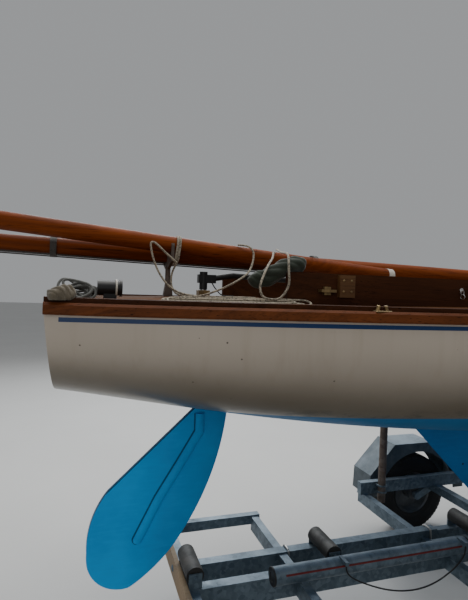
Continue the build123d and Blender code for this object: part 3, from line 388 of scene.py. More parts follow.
# %% Woods
WOODS = (
    # name, dark, light, pores, grain scale, figure, gloss, dust, coat, shine, plank width, solids
    ("rail_varnish", (0.015, 0.0045, 0.0016), (0.085, 0.028, 0.0085), (0.012, 0.005, 0.002),
     1.0, 1.7, 0.55, 0, 0, 0.1, 0, ("coaming", "toe_rail_port", "toe_rail_starboard", "thwart")),
    ("rub_rail_varnish", (0.045, 0.012, 0.003), (0.2, 0.058, 0.015), (0.025, 0.008, 0.003),
     1.0, 1.6, 0.52, 0, 0, 0.12, 0, ("rub_rail_port", "rub_rail_starboard")),
    ("spar_varnish", (0.062, 0.0115, 0.002), (0.25, 0.057, 0.0095), (0.035, 0.01, 0.003),
     0.8, 2.0, 0.46, 0, 0.01, 0.07, 0, ("mast", "boom", "whisker_pole")),
    ("deck_varnish", (0.07, 0.027, 0.01), (0.18, 0.08, 0.032), (0.04, 0.016, 0.007),
     0.9, 1.5, 0.78, 0.02, 0, 0.05, 0.058, ("deck",)),
    ("bare_timber", (0.2, 0.13, 0.07), (0.4, 0.29, 0.17), (0.1, 0.065, 0.04),
     1.3, 1.4, 0.62, 0.18, 0, 0.25, 0, ("rear_timber", "bow_chock", "floorboards", "mast_step")),
    ("cheek_varnish", (0.06, 0.028, 0.01), (0.17, 0.085, 0.034), (0.03, 0.013, 0.005),
     1.2, 1.5, 0.46, 0.02, 0.04, 0.2, 0, ("coaming_cheeks",)),
)
WHOLE_PLANKS = 40.5                 # keeps the places across the deck positive


def wood(name, dark, light, pore, scale, figure, gloss, dust, coat, shine, plank):
    """Wood of two tones along the grain, with pores, dust on top, varnish, and seams a plank apart."""
    tree, shader, place = new_material(name, Coat_Weight=coat, Coat_Roughness=0.22, Specular_IOR_Level=shine)
    grain = use_group(tree, GRAIN, place, Scale=scale, Figure=figure)
    board = mix(tree, ramp(tree, noise(tree, place, 1.1, 2.0, 0.5, (0.4, 3, 3)), 0.35, 0.65),
                (0.82, 0.8, 0.78), (1.08, 1.05, 1.0))
    toned = mix(tree, 1.0, mix(tree, grain["Grain"], dark, light), board, "MULTIPLY")
    tone, marks = mix(tree, grain["Pores"], toned, pore), grain["Pores"]
    if plank:
        planks = calc(tree, calc(tree, parts(tree, place)["Y"], "/", plank), "+", WHOLE_PLANKS)
        off_seam = calc(tree, calc(tree, calc(tree, planks, "fract"), "-", 0.5), "abs")
        seam = calc(tree, off_seam, "<", 0.026)
        tone = mix(tree, seam, tone, (0.012, 0.008, 0.006))
        marks = calc(tree, marks, "max", seam)
    settled = use_group(tree, DUST, place, Scale=7.0, Cover=dust)["Mask"]
    wire(tree, shader, mix(tree, settled, tone, (0.4, 0.36, 0.31)),
         spread(tree, calc(tree, settled, "max", marks), 0, 1, gloss, gloss + 0.35),
         height=calc(tree, 1.0, "-", marks), depth=0.0006, strength=0.35)


for *looks, solids in WOODS:
    wood(*looks)
    dress(looks[0], *solids)
print(len(WOODS), "woods")

# %% [markdown]
# The trailer is dipped in zinc: blue-grey, with paler flowers and darker stains, and white bloom
# with a painted highlight on the faces that look up. The mudguards and the rims are darker on the
# faces that look aft, from mud, and on the faces that look aside, as painted shade. The hull posts
# and the mast crutch have lost their zinc and rusted.

# %% Metals
METALS = (
    # name, dark, light, gloss, metallic, bloom and painted highlight, flowers a metre, stain, mud and painted
    # shade, solids
    ("zinc_steel", (0.078, 0.115, 0.148), (0.15, 0.203, 0.248), 0.38, 0.45, 0.6, 55,
     (0.035, 0.055, 0.072), 0,
     ("rear_beams", "front_beams", "cross_members", "front_cross_member", "side_bars", "side_rails", "axle",
      "post_clamps", "roller_brackets", "drawbar_port", "drawbar_starboard", "drawbar_head", "coupling",
      "winch_post", "winch", "jockey_tube", "jockey_fork", "stowed_tube")),
    ("guard_zinc", (0.2, 0.26, 0.305), (0.31, 0.38, 0.435), 0.38, 0.3, 0.9, 40, (0.1, 0.135, 0.16), 0.85,
     ("mudguard_port", "mudguard_starboard")),
    ("stainless_steel", (0.42, 0.42, 0.41), (0.58, 0.58, 0.57), 0.22, 0.9, 0.15, 20, (0.25, 0.22, 0.18), 0,
     ("rudder_stock", "chainplates", "stem_fitting")),
    ("old_wire", (0.03, 0.029, 0.027), (0.06, 0.057, 0.052), 0.5, 0.3, 0.02, 120, (0.05, 0.035, 0.025), 0,
     ("stays",)),
    ("rusty_post", (0.08, 0.062, 0.052), (0.17, 0.14, 0.12), 0.5, 0.4, 0.2, 35, (0.16, 0.08, 0.045), 0,
     ("hull_posts", "mast_crutch")),
    # The rims' grey is darkened throughout as painted shade for their inner sides.
    ("shaded_rim_silver", (0.13, 0.14, 0.15), (0.24, 0.25, 0.26), 0.4, 0.4, 0.3, 14, (0.07, 0.06, 0.05), 0.55,
     ("rim_port", "rim_starboard")),
    ("old_bronze", (0.2, 0.13, 0.06), (0.34, 0.23, 0.1), 0.36, 0.75, 0.2, 30, (0.07, 0.1, 0.07), 0,
     ("rudder_bearing", "cleats")),
)


def metal(name, dark, light, gloss, metallic, bloom_and_highlight, flowers, stain, mud_and_shade):
    """Metal: two tones in cells, stains, pale bloom and painted highlight on top, mud on faces that look aft
    and painted shade on faces that look aside.
    """
    tree, shader, place = new_material(name, Metallic=metallic)
    zinc = use_group(tree, ZINC, place, Scale=flowers)
    tone = mix(tree, calc(tree, zinc["Stain"], "*", 0.4), mix(tree, zinc["Tone"], dark, light), stain)
    # Faces that look up are paler: bloom, and a painted highlight.
    settled = use_group(tree, DUST, place, Scale=9.0, Cover=bloom_and_highlight)["Mask"]
    # Mud darkens faces that look aft; painted shade darkens faces that look aside.
    if mud_and_shade:
        look = facing(tree)
        aside = calc(tree, calc(tree, look["Y"], "abs"), "max", calc(tree, look["X"], "*", -1.15))
        patchy = spread(tree, noise(tree, place, 7.0, 5.0, 0.65), 0, 1, 0.65, 1.15)
        mud_and_shade_mask = calc(tree, ramp(tree, aside, 0.25, 0.75, high=mud_and_shade), "*", patchy)
        tone = mix(tree, mud_and_shade_mask, tone, (0.022, 0.032, 0.038))
        settled = calc(tree, settled, "*", calc(tree, 1.0, "-", mud_and_shade_mask))
    wire(tree, shader, mix(tree, settled, tone, (0.34, 0.41, 0.47)),
         spread(tree, calc(tree, zinc["Stain"], "max", settled), 0, 1, gloss, gloss + 0.3),
         height=noise(tree, place, 90.0, 4.0), depth=0.0006, strength=0.35)


for *looks, solids in METALS:
    metal(*looks)
    dress(looks[0], *solids)
print(len(METALS), "metals")

# %% [markdown]
# Rubber and plastic are mottled, and greyed by dust on top. The tyres are a shade browner, and
# the marker line on the stowed tube is red tape.

# %% Rubbers and plastics
RUBBERS = (
    # name, dark, light, gloss, dust, colour of the dust, solids
    ("roller_rubber", (0.012, 0.012, 0.012), (0.03, 0.029, 0.028), 0.5, 0.6, (0.22, 0.21, 0.19),
     ("roller_aft", "roller_middle", "roller_fore", "keel_rollers", "hull_pads", "bow_stop", "jockey_wheel")),
    ("tyre_rubber", (0.01, 0.01, 0.01), (0.024, 0.023, 0.022), 0.62, 0.35, (0.12, 0.11, 0.1),
     ("tyre_port", "tyre_starboard")),
    ("black_plastic", (0.008, 0.008, 0.009), (0.02, 0.02, 0.021), 0.32, 0.25, (0.22, 0.21, 0.19),
     ("tiller", "stern_block", "trailer_cable")),
    ("red_tape", (0.09, 0.008, 0.01), (0.2, 0.016, 0.014), 0.35, 0.08, (0.22, 0.21, 0.19), ()),
    ("pale_plastic", (0.46, 0.43, 0.37), (0.6, 0.57, 0.5), 0.4, 0.1, (0.22, 0.21, 0.19), ()),
)


def rubber(name, dark, light, gloss, dust, dusty):
    """Rubber or plastic, mottled, with dust on what looks up."""
    tree, shader, place = new_material(name, Specular_IOR_Level=0.35)
    settled = use_group(tree, DUST, place, Scale=16.0, Cover=dust)["Mask"]
    wire(tree, shader, mix(tree, settled, mix(tree, noise(tree, place, 12.0, 6.0, 0.65), dark, light), dusty),
         spread(tree, noise(tree, place, 20.0), 0, 1, gloss, gloss + 0.2),
         height=noise(tree, place, 180.0, 3.0), depth=0.0004, strength=0.4)


for *looks, solids in RUBBERS:
    rubber(*looks)
    dress(looks[0], *solids)
print(len(RUBBERS), "rubbers and plastics")

# %% [markdown]
# Rope is dirty white or grey, with the lay of its strands in the bump, and the cream rope has
# dark flecks in its braid. Canvas is a dull green-grey weave.

# %% Rope and canvas
FIBRES = (
    # name, dark, light, scale of the lay, its stretch along Y, flecks
    ("cream_rope", (0.22, 0.185, 0.14), (0.52, 0.47, 0.38), 160, 0.35, 0.62),
    ("heap_rope", (0.045, 0.047, 0.046), (0.22, 0.225, 0.22), 170, 0.35, 0),
    ("black_cord", (0.008, 0.008, 0.009), (0.035, 0.035, 0.037), 190, 0.35, 0),
    ("green_canvas", (0.014, 0.021, 0.017), (0.06, 0.072, 0.054), 320, 1.0, 0),
    ("pale_canvas", (0.075, 0.062, 0.045), (0.215, 0.185, 0.14), 300, 1.0, 0),
)


def fibre(name, dark, light, scale, stretch, fleck):
    """Cloth or rope: two tones in fine stripes, dark flecks where asked, soft sheen, no gloss."""
    tree, shader, place = new_material(name, Sheen_Weight=0.25, Specular_IOR_Level=0.2)
    lay = noise(tree, place, scale, 3.0, 0.6, (1.0, stretch, 1.0))
    soiled = mix(tree, noise(tree, place, 9.0, 4.0), (0.72, 0.7, 0.66), (1.05, 1.04, 1.0))
    tone = mix(tree, lay, dark, light)
    if fleck:
        marks = ramp(tree, noise(tree, place, 150.0, 1.0, 0.4), 0.53, 0.58, high=fleck)
        tone = mix(tree, marks, tone, (0.035, 0.032, 0.03))
    wire(tree, shader, mix(tree, 1.0, tone, soiled, "MULTIPLY"), spread(tree, lay, 0, 1, 0.85, 1.0),
         height=lay, depth=0.0012, strength=0.7)


for looks in FIBRES:
    fibre(*looks)
print(len(FIBRES), "ropes and cloths")

# %% [markdown]
# Every added piece is a skin over rows of points. A row is a closed ring: the rows follow a path
# to make a tube, turn about an axis to make a turned piece, or step through a box to make a plate
# with its edges planed off. Several skins are stacked into one mesh as whole arrays.

# %% Surfaces
def from_transom(*points):
    """Points in millimetres from the transom, as metres in the part's own frame."""
    return np.array(points, float).reshape(-1, 3) / 1000 + (TRANSOM, 0, 0)


def even_turn(sides):
    """Angles of the corners of an even ring."""
    return np.linspace(0, math.tau, sides, endpoint=False)


def unit(rows):
    """Each row's vector at length one."""
    return rows / np.linalg.norm(rows, axis=1, keepdims=True)


def spokes(axis, sides):
    """An axis at length one, and even spokes of length one round it: side cos t + over sin t."""
    axis = np.array(axis, float) / np.linalg.norm(axis)
    side = np.cross(axis, np.eye(3)[np.abs(axis).argmin()])
    side /= np.linalg.norm(side)
    t = even_turn(sides)[:, None]
    return axis, side * np.cos(t) + np.cross(axis, side) * np.sin(t)


def skin(rows, wrap=False):
    """Points and face blocks over rows of rings; the ends are one face each, or meet if wrap.

    The faces are turned so that the sum of a . (b x c) over their triangles is positive."""
    count, sides = rows.shape[:2]
    points = rows.reshape(-1, 3)
    index = np.arange(count * sides).reshape(count, sides)
    here, there = (index, np.roll(index, -1, 0)) if wrap else (index[:-1], index[1:])
    quads = np.stack([here, there, np.roll(there, -1, 1), np.roll(here, -1, 1)], -1).reshape(-1, 4)
    a, b, c, d = (points[quads[:, k]] - points.mean(0) for k in range(4))
    volume = (a * np.cross(b, c)).sum() + (a * np.cross(c, d)).sum()
    blocks = [quads] if wrap else [quads, index[:1], index[-1:, ::-1]]
    return points, blocks if volume > 0 else [block[:, ::-1] for block in blocks]


def piece(name, finish, *skins, body=BASE, sharp=0.6):
    """One object from several skins, smooth but for its sharp edges, which rides on a body."""
    starts = np.cumsum([0] + [len(points) for points, blocks in skins])
    rows = [start + block for start, (points, blocks) in zip(starts, skins) for block in blocks]
    corners = np.concatenate([row.ravel() for row in rows])
    sizes = np.concatenate([np.full(len(row), row.shape[1]) for row in rows])
    mesh = bpy.data.meshes.new(name)
    mesh.vertices.add(starts[-1])
    mesh.vertices.foreach_set("co", np.vstack([points for points, blocks in skins]).ravel())
    mesh.loops.add(len(corners))
    mesh.loops.foreach_set("vertex_index", corners)
    mesh.polygons.add(len(sizes))
    mesh.polygons.foreach_set("loop_start", np.cumsum(sizes) - sizes)
    mesh.update(calc_edges=True)
    mesh.materials.append(finishes[finish])
    mesh.shade_smooth()
    mesh.set_sharp_from_angle(angle=sharp)
    made = put(name, mesh)
    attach(made, body)
    return made


def along(points, count=48):
    """Smooth path in metres through points, which are in millimetres from the transom.

    Each span is the cubic whose slopes are half its neighbours' chords."""
    given = from_transom(*points)
    given = np.vstack([2 * given[0] - given[1], given, 2 * given[-1] - given[-2]])
    share = np.linspace(0, len(given) - 3, count)
    span = np.minimum(share.astype(int), len(given) - 4)
    t = (share - span)[:, None]
    a, b, c, d = (given[span + k] for k in range(4))
    bow, turn = 2 * a - 5 * b + 4 * c - d, 3 * b - a - 3 * c + d
    return 0.5 * (2 * b + (c - a) * t + bow * t ** 2 + turn * t ** 3)


def tube(path, radius, sides=10, wrap=False):
    """Skin round a path: p + r (side cos t + over sin t), with side and over square to the path."""
    heading = unit(np.roll(path, -1, 0) - np.roll(path, 1, 0) if wrap else np.gradient(path, axis=0))
    side = unit(np.cross(heading, np.eye(3)[np.abs(heading).mean(0).argmin()]))
    over = np.cross(side, heading)
    t = even_turn(sides)[None, :, None]
    reach = np.broadcast_to(np.asarray(radius, float) / 1000, len(path))[:, None, None]
    return skin(path[:, None] + reach * (side[:, None] * np.cos(t) + over[:, None] * np.sin(t)), wrap)


def turned(profile, middle, axis, sides=28):
    """Skin turned about an axis through a point: rings of (place on the axis, radius)."""
    axis, around = spokes(axis, sides)
    place, radius = (np.array(profile, float).T / 1000)[:, :, None, None]
    return skin(from_transom(middle)[0] + axis * place + radius * around)


def plate(low, high, edge=1.5):
    """Box between two corners with planed edges: eight-sided rings, pulled in at both ends."""
    low, high = from_transom(low, high)
    middle, (x, y, z) = (low + high) / 2, (high - low) / 2
    cut = min(edge / 1000, 0.8 * min(x, y, z))
    outline = np.array([(y, z - cut), (y - cut, z), (cut - y, z), (-y, z - cut),
                        (-y, cut - z), (cut - y, -z), (y - cut, -z), (y, cut - z)])
    small = outline * (1 - cut / np.array([y, z]))
    rows = [np.column_stack([np.full(8, at), ring_at])
            for at, ring_at in ((-x, small), (cut - x, outline), (x - cut, outline), (x, small))]
    return skin(middle + np.array(rows))


def ring(middle, axis, radius, thick, sides=24, round_sides=8):
    """Closed ring about an axis."""
    path = from_transom(middle)[0] + radius / 1000 * spokes(axis, sides)[1]
    return tube(path, thick, round_sides, wrap=True)


def nut(place, axis, size=8, stub=7):
    """Washer, six-sided nut and thread end, standing on a face that looks along the axis."""
    top = 1.2 * size
    washer = [(0, size * 1.25), (1.2, size * 1.25), (1.6, size * 1.18)]
    flats = [(1.6, size * 0.9), (2.2, size), (1.1 * size, size), (top, size * 0.88)]
    thread = [(top, size * 0.5), (top + stub, size * 0.5), (1.3 * size + stub, size * 0.4)]
    return [turned(form, place, axis, sides) for form, sides in ((washer, 18), (flats, 6), (thread, 10))]


print("surface helpers ready")

# %% [markdown]
# The tyres take the place of the plain rings. Their tread has four zigzag grooves and slanting
# cuts over the shoulders, which are depths taken off the radius as a function of the angle and
# the place across the tread. The sidewall has two low raised rings.

# %% Tyres
WHEEL_X, TRACK_HALF, TYRE_RADIUS = 2330, 770, 260
TREAD_HALF, TREAD_POINTS, TYRE_STEPS = 50, 41, 240
GROOVES, GROOVE_SLOPE, GROOVE_DEPTH, ZIGZAGS, SWING = (-32, -11, 11, 32), 2.2, 5.5, 30, 1.6
SHOULDER, SHOULDER_CUTS, CUT_SLANT, CUT_SHARE, CUT_DEPTH = 37, 60, 0.004, 0.22, 4.0
HUB_Y, WHEEL_BOLTS, BOLT_CIRCLE = TRACK_HALF + 10, 5, 84
SIDEWALL = (
    # place across the tyre, radius, both in mm
    (56, 250), (60.5, 243), (63.5, 235), (64.5, 228), (66.3, 222), (67, 208), (66.6, 204), (67.2, 198),
    (66.5, 186), (65.0, 176), (65.8, 172), (64.5, 166), (61, 154), (56, 147), (53, 142),
)


def tyre_rows(side):
    """Rings at even angles: radius is the section's radius less the depth of the groove there."""
    tread = np.linspace(-TREAD_HALF, TREAD_HALF, TREAD_POINTS)
    crown = TYRE_RADIUS - 3.0 * (np.abs(tread) / TREAD_HALF) ** 2.2
    wall = np.array(SIDEWALL, float)
    across = np.concatenate([tread, wall[:, 0], -wall[::-1, 0]])
    radius = np.concatenate([crown, wall[:, 1], wall[::-1, 1]])
    angle = even_turn(TYRE_STEPS)[:, None]
    zigzag = SWING * (np.abs((angle * ZIGZAGS / np.pi) % 2 - 1) * 2 - 1)
    groove = sum(np.clip(1.6 - np.abs(across - place - zigzag) / GROOVE_SLOPE, 0, 1) for place in GROOVES)
    turn = angle * SHOULDER_CUTS / math.tau + across * CUT_SLANT
    cut = (turn % 1 < CUT_SHARE) * (np.abs(across) > SHOULDER) * (radius > 240)
    depth = GROOVE_DEPTH * np.clip(groove, 0, 1) * (radius > 255) + CUT_DEPTH * cut
    reach = (radius - depth) / 1000
    middle = from_transom((WHEEL_X, side * TRACK_HALF, TYRE_RADIUS))[0]
    sideways = np.broadcast_to(across / 1000, reach.shape)
    return middle + np.stack([reach * np.cos(angle), sideways, reach * np.sin(angle)], -1)


for name, side in (("port", 1), ("starboard", -1)):
    body, outward = "wheel_" + name, (0, side, 0)
    tyre = skin(tyre_rows(side), wrap=True)
    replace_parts(piece("tyre_tread_" + name, "tyre_rubber", tyre, body=body, sharp=0.5), "tyre_" + name)
    bolts = []
    for k in range(WHEEL_BOLTS):
        a = math.tau * k / WHEEL_BOLTS + 0.3
        ahead, above = BOLT_CIRCLE * math.cos(a), BOLT_CIRCLE * math.sin(a)
        bolts += nut((WHEEL_X + ahead, side * HUB_Y, TYRE_RADIUS + above), outward, 8.5, 3)
    cap = turned([(0, 31), (5, 31), (10, 28), (13, 20), (14.5, 9), (15, 0.2)],
                 (WHEEL_X, side * (TRACK_HALF + 40), TYRE_RADIUS), outward, 36)
    valve = turned([(0, 4), (6, 4), (7, 3), (24, 2.6), (25, 1.5)],
                   (WHEEL_X - 108, side * HUB_Y, TYRE_RADIUS - 20), (0.25, side, 0.05), 12)
    piece("wheel_nuts_" + name, "zinc_steel", cap, *bolts, body=body)
    piece("tyre_valve_" + name, "black_plastic", valve, body=body)
print("tyres, wheel nuts and caps done")

# %% [markdown]
# Nuts and thread ends hold the posts to the rails, the rollers to their brackets and the guards
# to their stays. Like pieces come from one table of places.

# %% Nuts on the trailer
FRAME_NUTS = (
    # places along X, distance from the middle, height, nut size, length of the thread end
    ((1944, 2000, 3392, 3448), 640, 366, 8, 9), ((1944, 2000, 3392, 3448), 640, 406, 8, 9),
    ((590, 1240, 2085, 2430, 2960), 102, 428, 8, 5), ((1950, 2708), 670, 385, 5, 4),
    ((6200, 6260), 30, 392, 7, 6), ((6400, 6460), 50, 382, 8, 6), ((1090, 1915), 110, 300, 7, 6),
)
nuts = []
for places, y, z, size, stub in FRAME_NUTS:
    for side in (1, -1):
        nuts += [part for x in places for part in nut((x, side * y, z), (0, side, 0), size, stub)]
piece("frame_nuts", "zinc_steel", *nuts)
heads = [turned([(0, 15), (2, 14), (5, 9), (6.5, 0.2)], (540, y, 342), (-1, 0, 0), 20)
         for y in (-400, -130, 130, 400)]
piece("timber_bolts", "zinc_steel", *heads)
print("frame nuts", len(nuts) // 3)

# %% [markdown]
# Two hoops clasp the rear beams at each channel. Weld beads run along the joints of the frame:
# thin tubes whose radius swells in ripples.

# %% Hoops and weld beads
def bead(start, end, size=3.2):
    """Weld bead: a tube whose radius is size (1 + 0.16 sin of the length over a ripple)."""
    ripple = 1 + 0.16 * np.sin(np.linspace(0, math.dist(start, end) / 3.2, 60))
    return tube(along((start, end), 60), size * ripple, 8)


BEADS = (
    # places along X and heights of its start and end, distances from the middle
    (600, 310, 600, 378, (60, 110, 445, 485)), (1835, 347, 1895, 347, (600, 640)),
    (3540, 352, 3540, 368, (600,)), (3580, 352, 3580, 368, (600,)),
    (1955, 302, 1955, 368, (66, 106)), (2425, 345, 2475, 345, (601, 639)),
)
HOOP = (
    # distance from the middle, height
    (55, 268), (55, 368), (62, 384), (85, 388), (108, 384), (115, 368), (115, 268),
)
hoops, beads = [], []
for side in (1, -1):
    for x in (1084, 1908):
        hoops.append(tube(along([(x, side * y, z) for y, z in HOOP], 60), 5, 10))
        hoops.append(plate((x - 12, side * 85 - 42, 274), (x + 12, side * 85 + 42, 280)))
        hoops += [part for y in (55, 115) for part in nut((x, side * y, 274), (0, 0, -1), 8, 4)]
    for x, z, x_end, z_end, places in BEADS:
        beads += [bead((x, side * y, z), (x_end, side * y, z_end)) for y in places]
piece("beam_hoops", "stainless_steel", *hoops)
piece("weld_beads", "zinc_steel", *beads)
print("hoops", len(hoops), "beads", len(beads))

# %% [markdown]
# Ropes are smooth curves near a few points, thick as real line. The deck's height is the crown of
# its section: the edge height plus the rise times one less the square of y over the half beam.

# %% Rope maker
DECK = (
    # place forward of the transom, half beam, height of the edge, rise to the middle
    (0, 420, 1560, 22), (650, 555, 1560, 30), (1300, 665, 1562, 38), (2100, 742, 1568, 42),
)


def on_deck(x, y, lift=5.0):
    """Point a little above the deck, in millimetres from the transom."""
    places, *columns = zip(*DECK)
    half, edge, rise = (np.interp(x, places, column) for column in columns)
    return (x, y, edge + rise * (1 - (y / half) ** 2) + lift)


def rope(name, finish, points, thick, body=BASE,
         fine=6):
    """Rope on a NURBS line from control points, round in section; the points of its bare line are read but
    not used.
    """
    line = bpy.data.curves.new(name, "CURVE")
    line.dimensions = "3D"
    line.resolution_u = fine
    route = line.splines.new("NURBS")
    route.points.add(len(points) - 1)
    place = from_transom(*points)
    route.points.foreach_set("co", np.column_stack([place, np.ones(len(place))]).ravel())
    route.order_u, route.use_endpoint_u = 3, True
    made = put(name, line)
    bpy.context.view_layer.update()
    bare = bpy.data.meshes.new_from_object(made)
    spots = np.empty(len(bare.vertices) * 3)
    bare.vertices.foreach_get("co", spots)
    bpy.data.meshes.remove(bare)
    line.bevel_depth, line.bevel_resolution = thick / 2000, 3
    line.materials.append(finishes[finish])
    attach(made, body)
    return made


# %% [markdown]
# The stowed tube has black plugs in its ends and a red line of tape along it. The cable under it
# is one smooth curve on the same points as its solid. A plain number, CABLE_LENGTH, is given for
# its length, and nothing reads it.

# %% Tube and cable
TUBE_Y, TUBE_Z, TUBE_AFT, TUBE_FORE = -152, 412, 915, 1928
CABLE_Y, CABLE_LENGTH = -202, 0.787
CABLE_ROUTE = (
    (1238, 440), (1238, 417), (1254, 392), (1288, 368), (1340, 342), (1396, 318), (1456, 296), (1528, 279),
    (1606, 271), (1684, 278), (1756, 301), (1816, 332), (1860, 366), (1882, 394), (1888, 418), (1888, 440),
)
plug = [(0, 39.5), (5, 39.5), (7, 37), (7.5, 20), (5, 18), (5, 0.2)]
piece("tube_plugs", "black_plastic", *[turned(plug, (x, TUBE_Y, TUBE_Z), (way, 0, 0), 32)
                                       for x, way in ((TUBE_FORE, 1), (TUBE_AFT, -1))])
tape = [(x, TUBE_Y - 34, TUBE_Z + 16) for x in (960, 1880)]
piece("tube_line", "red_tape", tube(along(tape, 8), 4.2, 10))
cable = rope("hanging_cable", "black_plastic", [(x, CABLE_Y, z) for x, z in CABLE_ROUTE], 7,
             fine=8)
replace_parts(cable, "trailer_cable")

# %% [markdown]
# The boom and the whisker pole carry black tape bands, the boom has a pale cap on its fore end,
# and the masthead a steel band. A lashing is a tube that winds round both spars as a tight
# spiral of several turns.

# %% Spar fittings
MASTHEAD, MAST_HEEL = (-1240, 50, 1796), (4750, 50, 1670)
BOOM_AFT, BOOM_FORE = (-1160, -46, 1925), (1515, -46, 1710)
POLE_AFT, POLE_FORE = (-260, 120, 1776), (2050, 120, 1746)
LASH_RADIUS = 4.6


def on_spar(start, end, x):
    """The point of a spar's axis at a place along X, by shares of its two ends."""
    share = (x - start[0]) / (end[0] - start[0])
    return tuple(a + share * (b - a) for a, b in zip(start, end))


def wound(middle, half_y, half_z, turns, lean):
    """Lashing: spiral whose turns are (half_y cos t, half_z sin t) / (cos^4 t + sin^4 t)^(1/4)."""
    t = np.linspace(0, math.tau * turns, int(36 * turns))
    shape = (np.cos(t) ** 4 + np.sin(t) ** 4) ** -0.25
    x = middle[0] + LASH_RADIUS * 2.05 * (t / math.tau - turns / 2) + lean * np.sin(t)
    y, z = middle[1] + half_y * shape * np.cos(t), middle[2] + half_z * shape * np.sin(t)
    return from_transom(*np.column_stack([x, y, z]))


mast_axis, boom_axis, pole_axis = (np.subtract(fore, aft) for aft, fore in (
    (MASTHEAD, MAST_HEEL), (BOOM_AFT, BOOM_FORE), (POLE_AFT, POLE_FORE)))
boom_end = [(-30, 36.2), (-2, 36.4), (2, 35), (5, 26), (6, 0.2)]
piece("boom_cap", "pale_plastic", turned(boom_end, BOOM_FORE, boom_axis, 36))
boom_band = [(0, 35.4), (0.5, 36), (28, 36), (28.5, 35.4)]
pole_band = [(0, 20.3), (0.4, 20.9), (26, 20.9), (26.4, 20.3)]
bands = [turned(boom_band, on_spar(BOOM_AFT, BOOM_FORE, x), boom_axis, 36) for x in (-1120, -300)]
bands += [turned(pole_band, on_spar(POLE_AFT, POLE_FORE, x), pole_axis, 28) for x in (-230, 1990)]
piece("spar_bands", "black_plastic", *bands)
piece("masthead_band", "stainless_steel",
      turned([(0, 28.4), (0.6, 29.4), (34, 29.8), (34.6, 28.8)], MASTHEAD, mast_axis, 36),
      turned([(-12, 8), (-12, 14), (0, 14), (0, 8)], MASTHEAD, mast_axis, 24))
print("spar fittings done")

# %% [markdown]
# A cream lashing winds round boom and mast beside the crutch. Two more hold the masthead end and
# the heel on its chock. Four short ropes hang from the spars and the crutch onto the deck.

# %% Lashings
LASHINGS = (
    # middle, half width, half height, turns, how far the top leans forward
    ((476, 3, 1774), 92, 58, 2, 9),
    ((-960, 5, 1852), 92, 98, 3, 4),
    ((4600, 50, 1673), 50, 50, 4, 0),
)
piece("spar_lashings", "cream_rope", *[tube(wound(*row), LASH_RADIUS, 8) for row in LASHINGS])
hairpin = [(470, -98, 1722), (430, -98, 1752), (384, -98, 1796), (362, -98, 1800), (366, -100, 1764),
           (380, -104, 1716), (400, -112, 1672), (430, -124, 1630), (474, -140, 1600), on_deck(540, -160),
           on_deck(610, -176), on_deck(690, -196), on_deck(760, -230)]
rope("lashing_tail", "cream_rope", hairpin, 8)
topping = [(738, -58, 1812), (762, -84, 1812), (792, -94, 1796), (794, -106, 1764), (776, -132, 1722),
           (750, -166, 1690), (705, -200, 1664), (652, -208, 1634), (600, -208, 1612),
           on_deck(540, -206), on_deck(470, -206)]
rope("boom_tail", "cream_rope", topping, 8)
pear = [(896, -86, 1786), (878, -112, 1788), (846, -190, 1768), (800, -290, 1742), (764, -352, 1724),
        (730, -398, 1688), (706, -424, 1652), (699, -432, 1628), on_deck(708, -436, 26),
        on_deck(738, -440, 19), on_deck(774, -441, 20), (798, -446, 1628), (803, -450, 1654),
        (800, -448, 1690), (802, -440, 1728), (812, -410, 1758), (834, -330, 1768), (862, -230, 1776),
        (888, -130, 1796), (900, -92, 1800)]
rope("boom_loop", "cream_rope", pear, 8)
drop = [(470, -94, 1722), (462, -80, 1702), (454, -72, 1676), (452, -74, 1642), (458, -82, 1616),
        on_deck(474, -98), on_deck(508, -124)]
rope("lashing_drop", "cream_rope", drop, 8)
print("lashings done")

# %% [markdown]
# Beside the coaming lies a flat hank, several long passes side by side with a loop at its fore
# end. At the quarter a heap of line lies against the block in loose turns that differ in size.

# %% Hank and heap
HANK_TURNS = (
    # aft end, fore end, half width, height of the near and of the far side above the deck, in mm
    (372, 846, 34, 5, 5), (350, 858, 27, 5, 5), (382, 836, 20, 5, 6),
    (364, 826, 24, 11, 13), (380, 884, 30, 5, 17),
)
ROUND_END = np.radians((-90, -45, 0, 45, 90))


def hank_middle(x):
    """The hank's middle line, which slants outwards as the deck widens forward."""
    return -402 - 0.116 * (x - 350)


hank = []
for aft, fore, half, near_lift, far_lift in HANK_TURNS:
    for end, way in ((fore - half, 1), (aft + half, -1)):
        for a in ROUND_END:
            share = (1 + way * math.sin(a)) / 2
            hank.append(on_deck(end + way * half * math.cos(a), hank_middle(end) + half * (2 * share - 1),
                                near_lift + share * (far_lift - near_lift)))
        middle = (aft + fore) / 2
        hank.append(on_deck(middle, hank_middle(middle) + way * half, far_lift if way > 0 else near_lift))
rope("deck_hank", "cream_rope", hank, 7)
HEAP_START, HEAP_TURNS, HEAP_POINTS = -1.2, 10.3, 136
angles = np.linspace(HEAP_START, HEAP_START + math.tau * HEAP_TURNS, HEAP_POINTS)
wander = 1 + 0.2 * np.sin(angles * 0.83) + 0.13 * np.cos(angles * 2.31)
heap = []
for a, w in zip(angles, wander):
    done = (a - HEAP_START) / (math.tau * HEAP_TURNS)
    rise = (1 + math.sin(a)) / 2 * w * (38 + 16 * math.sin(a * 0.29 + 1))
    heap.append(on_deck(96 + 13 * math.sin(a * 0.37) + 44 * w * math.cos(a + 0.5 * math.sin(a * 0.61)),
                        -352 + 66 * done + 20 * math.sin(a) + 9 * math.sin(a * 0.47), 6 + rise))
rope("quarter_heap", "heap_rope", heap, 9)
black_tail = [(634, -24, 1654), (640, -38, 1636), (652, -54, 1616), on_deck(664, -74, 8),
              on_deck(684, -92), on_deck(712, -98)]
rope("tiller_line", "black_cord", black_tail, 5, body="rudder")
print("hank and heap done")

# %% [markdown]
# A rolled canvas cover lies over the aft end of the cockpit's side board, and its heavy end sags
# towards the deck. A pale rag lies over the corner of the transom. Both are closed soft forms:
# rings along a path whose radii swell and pinch in folds, pressed flat where they rest.

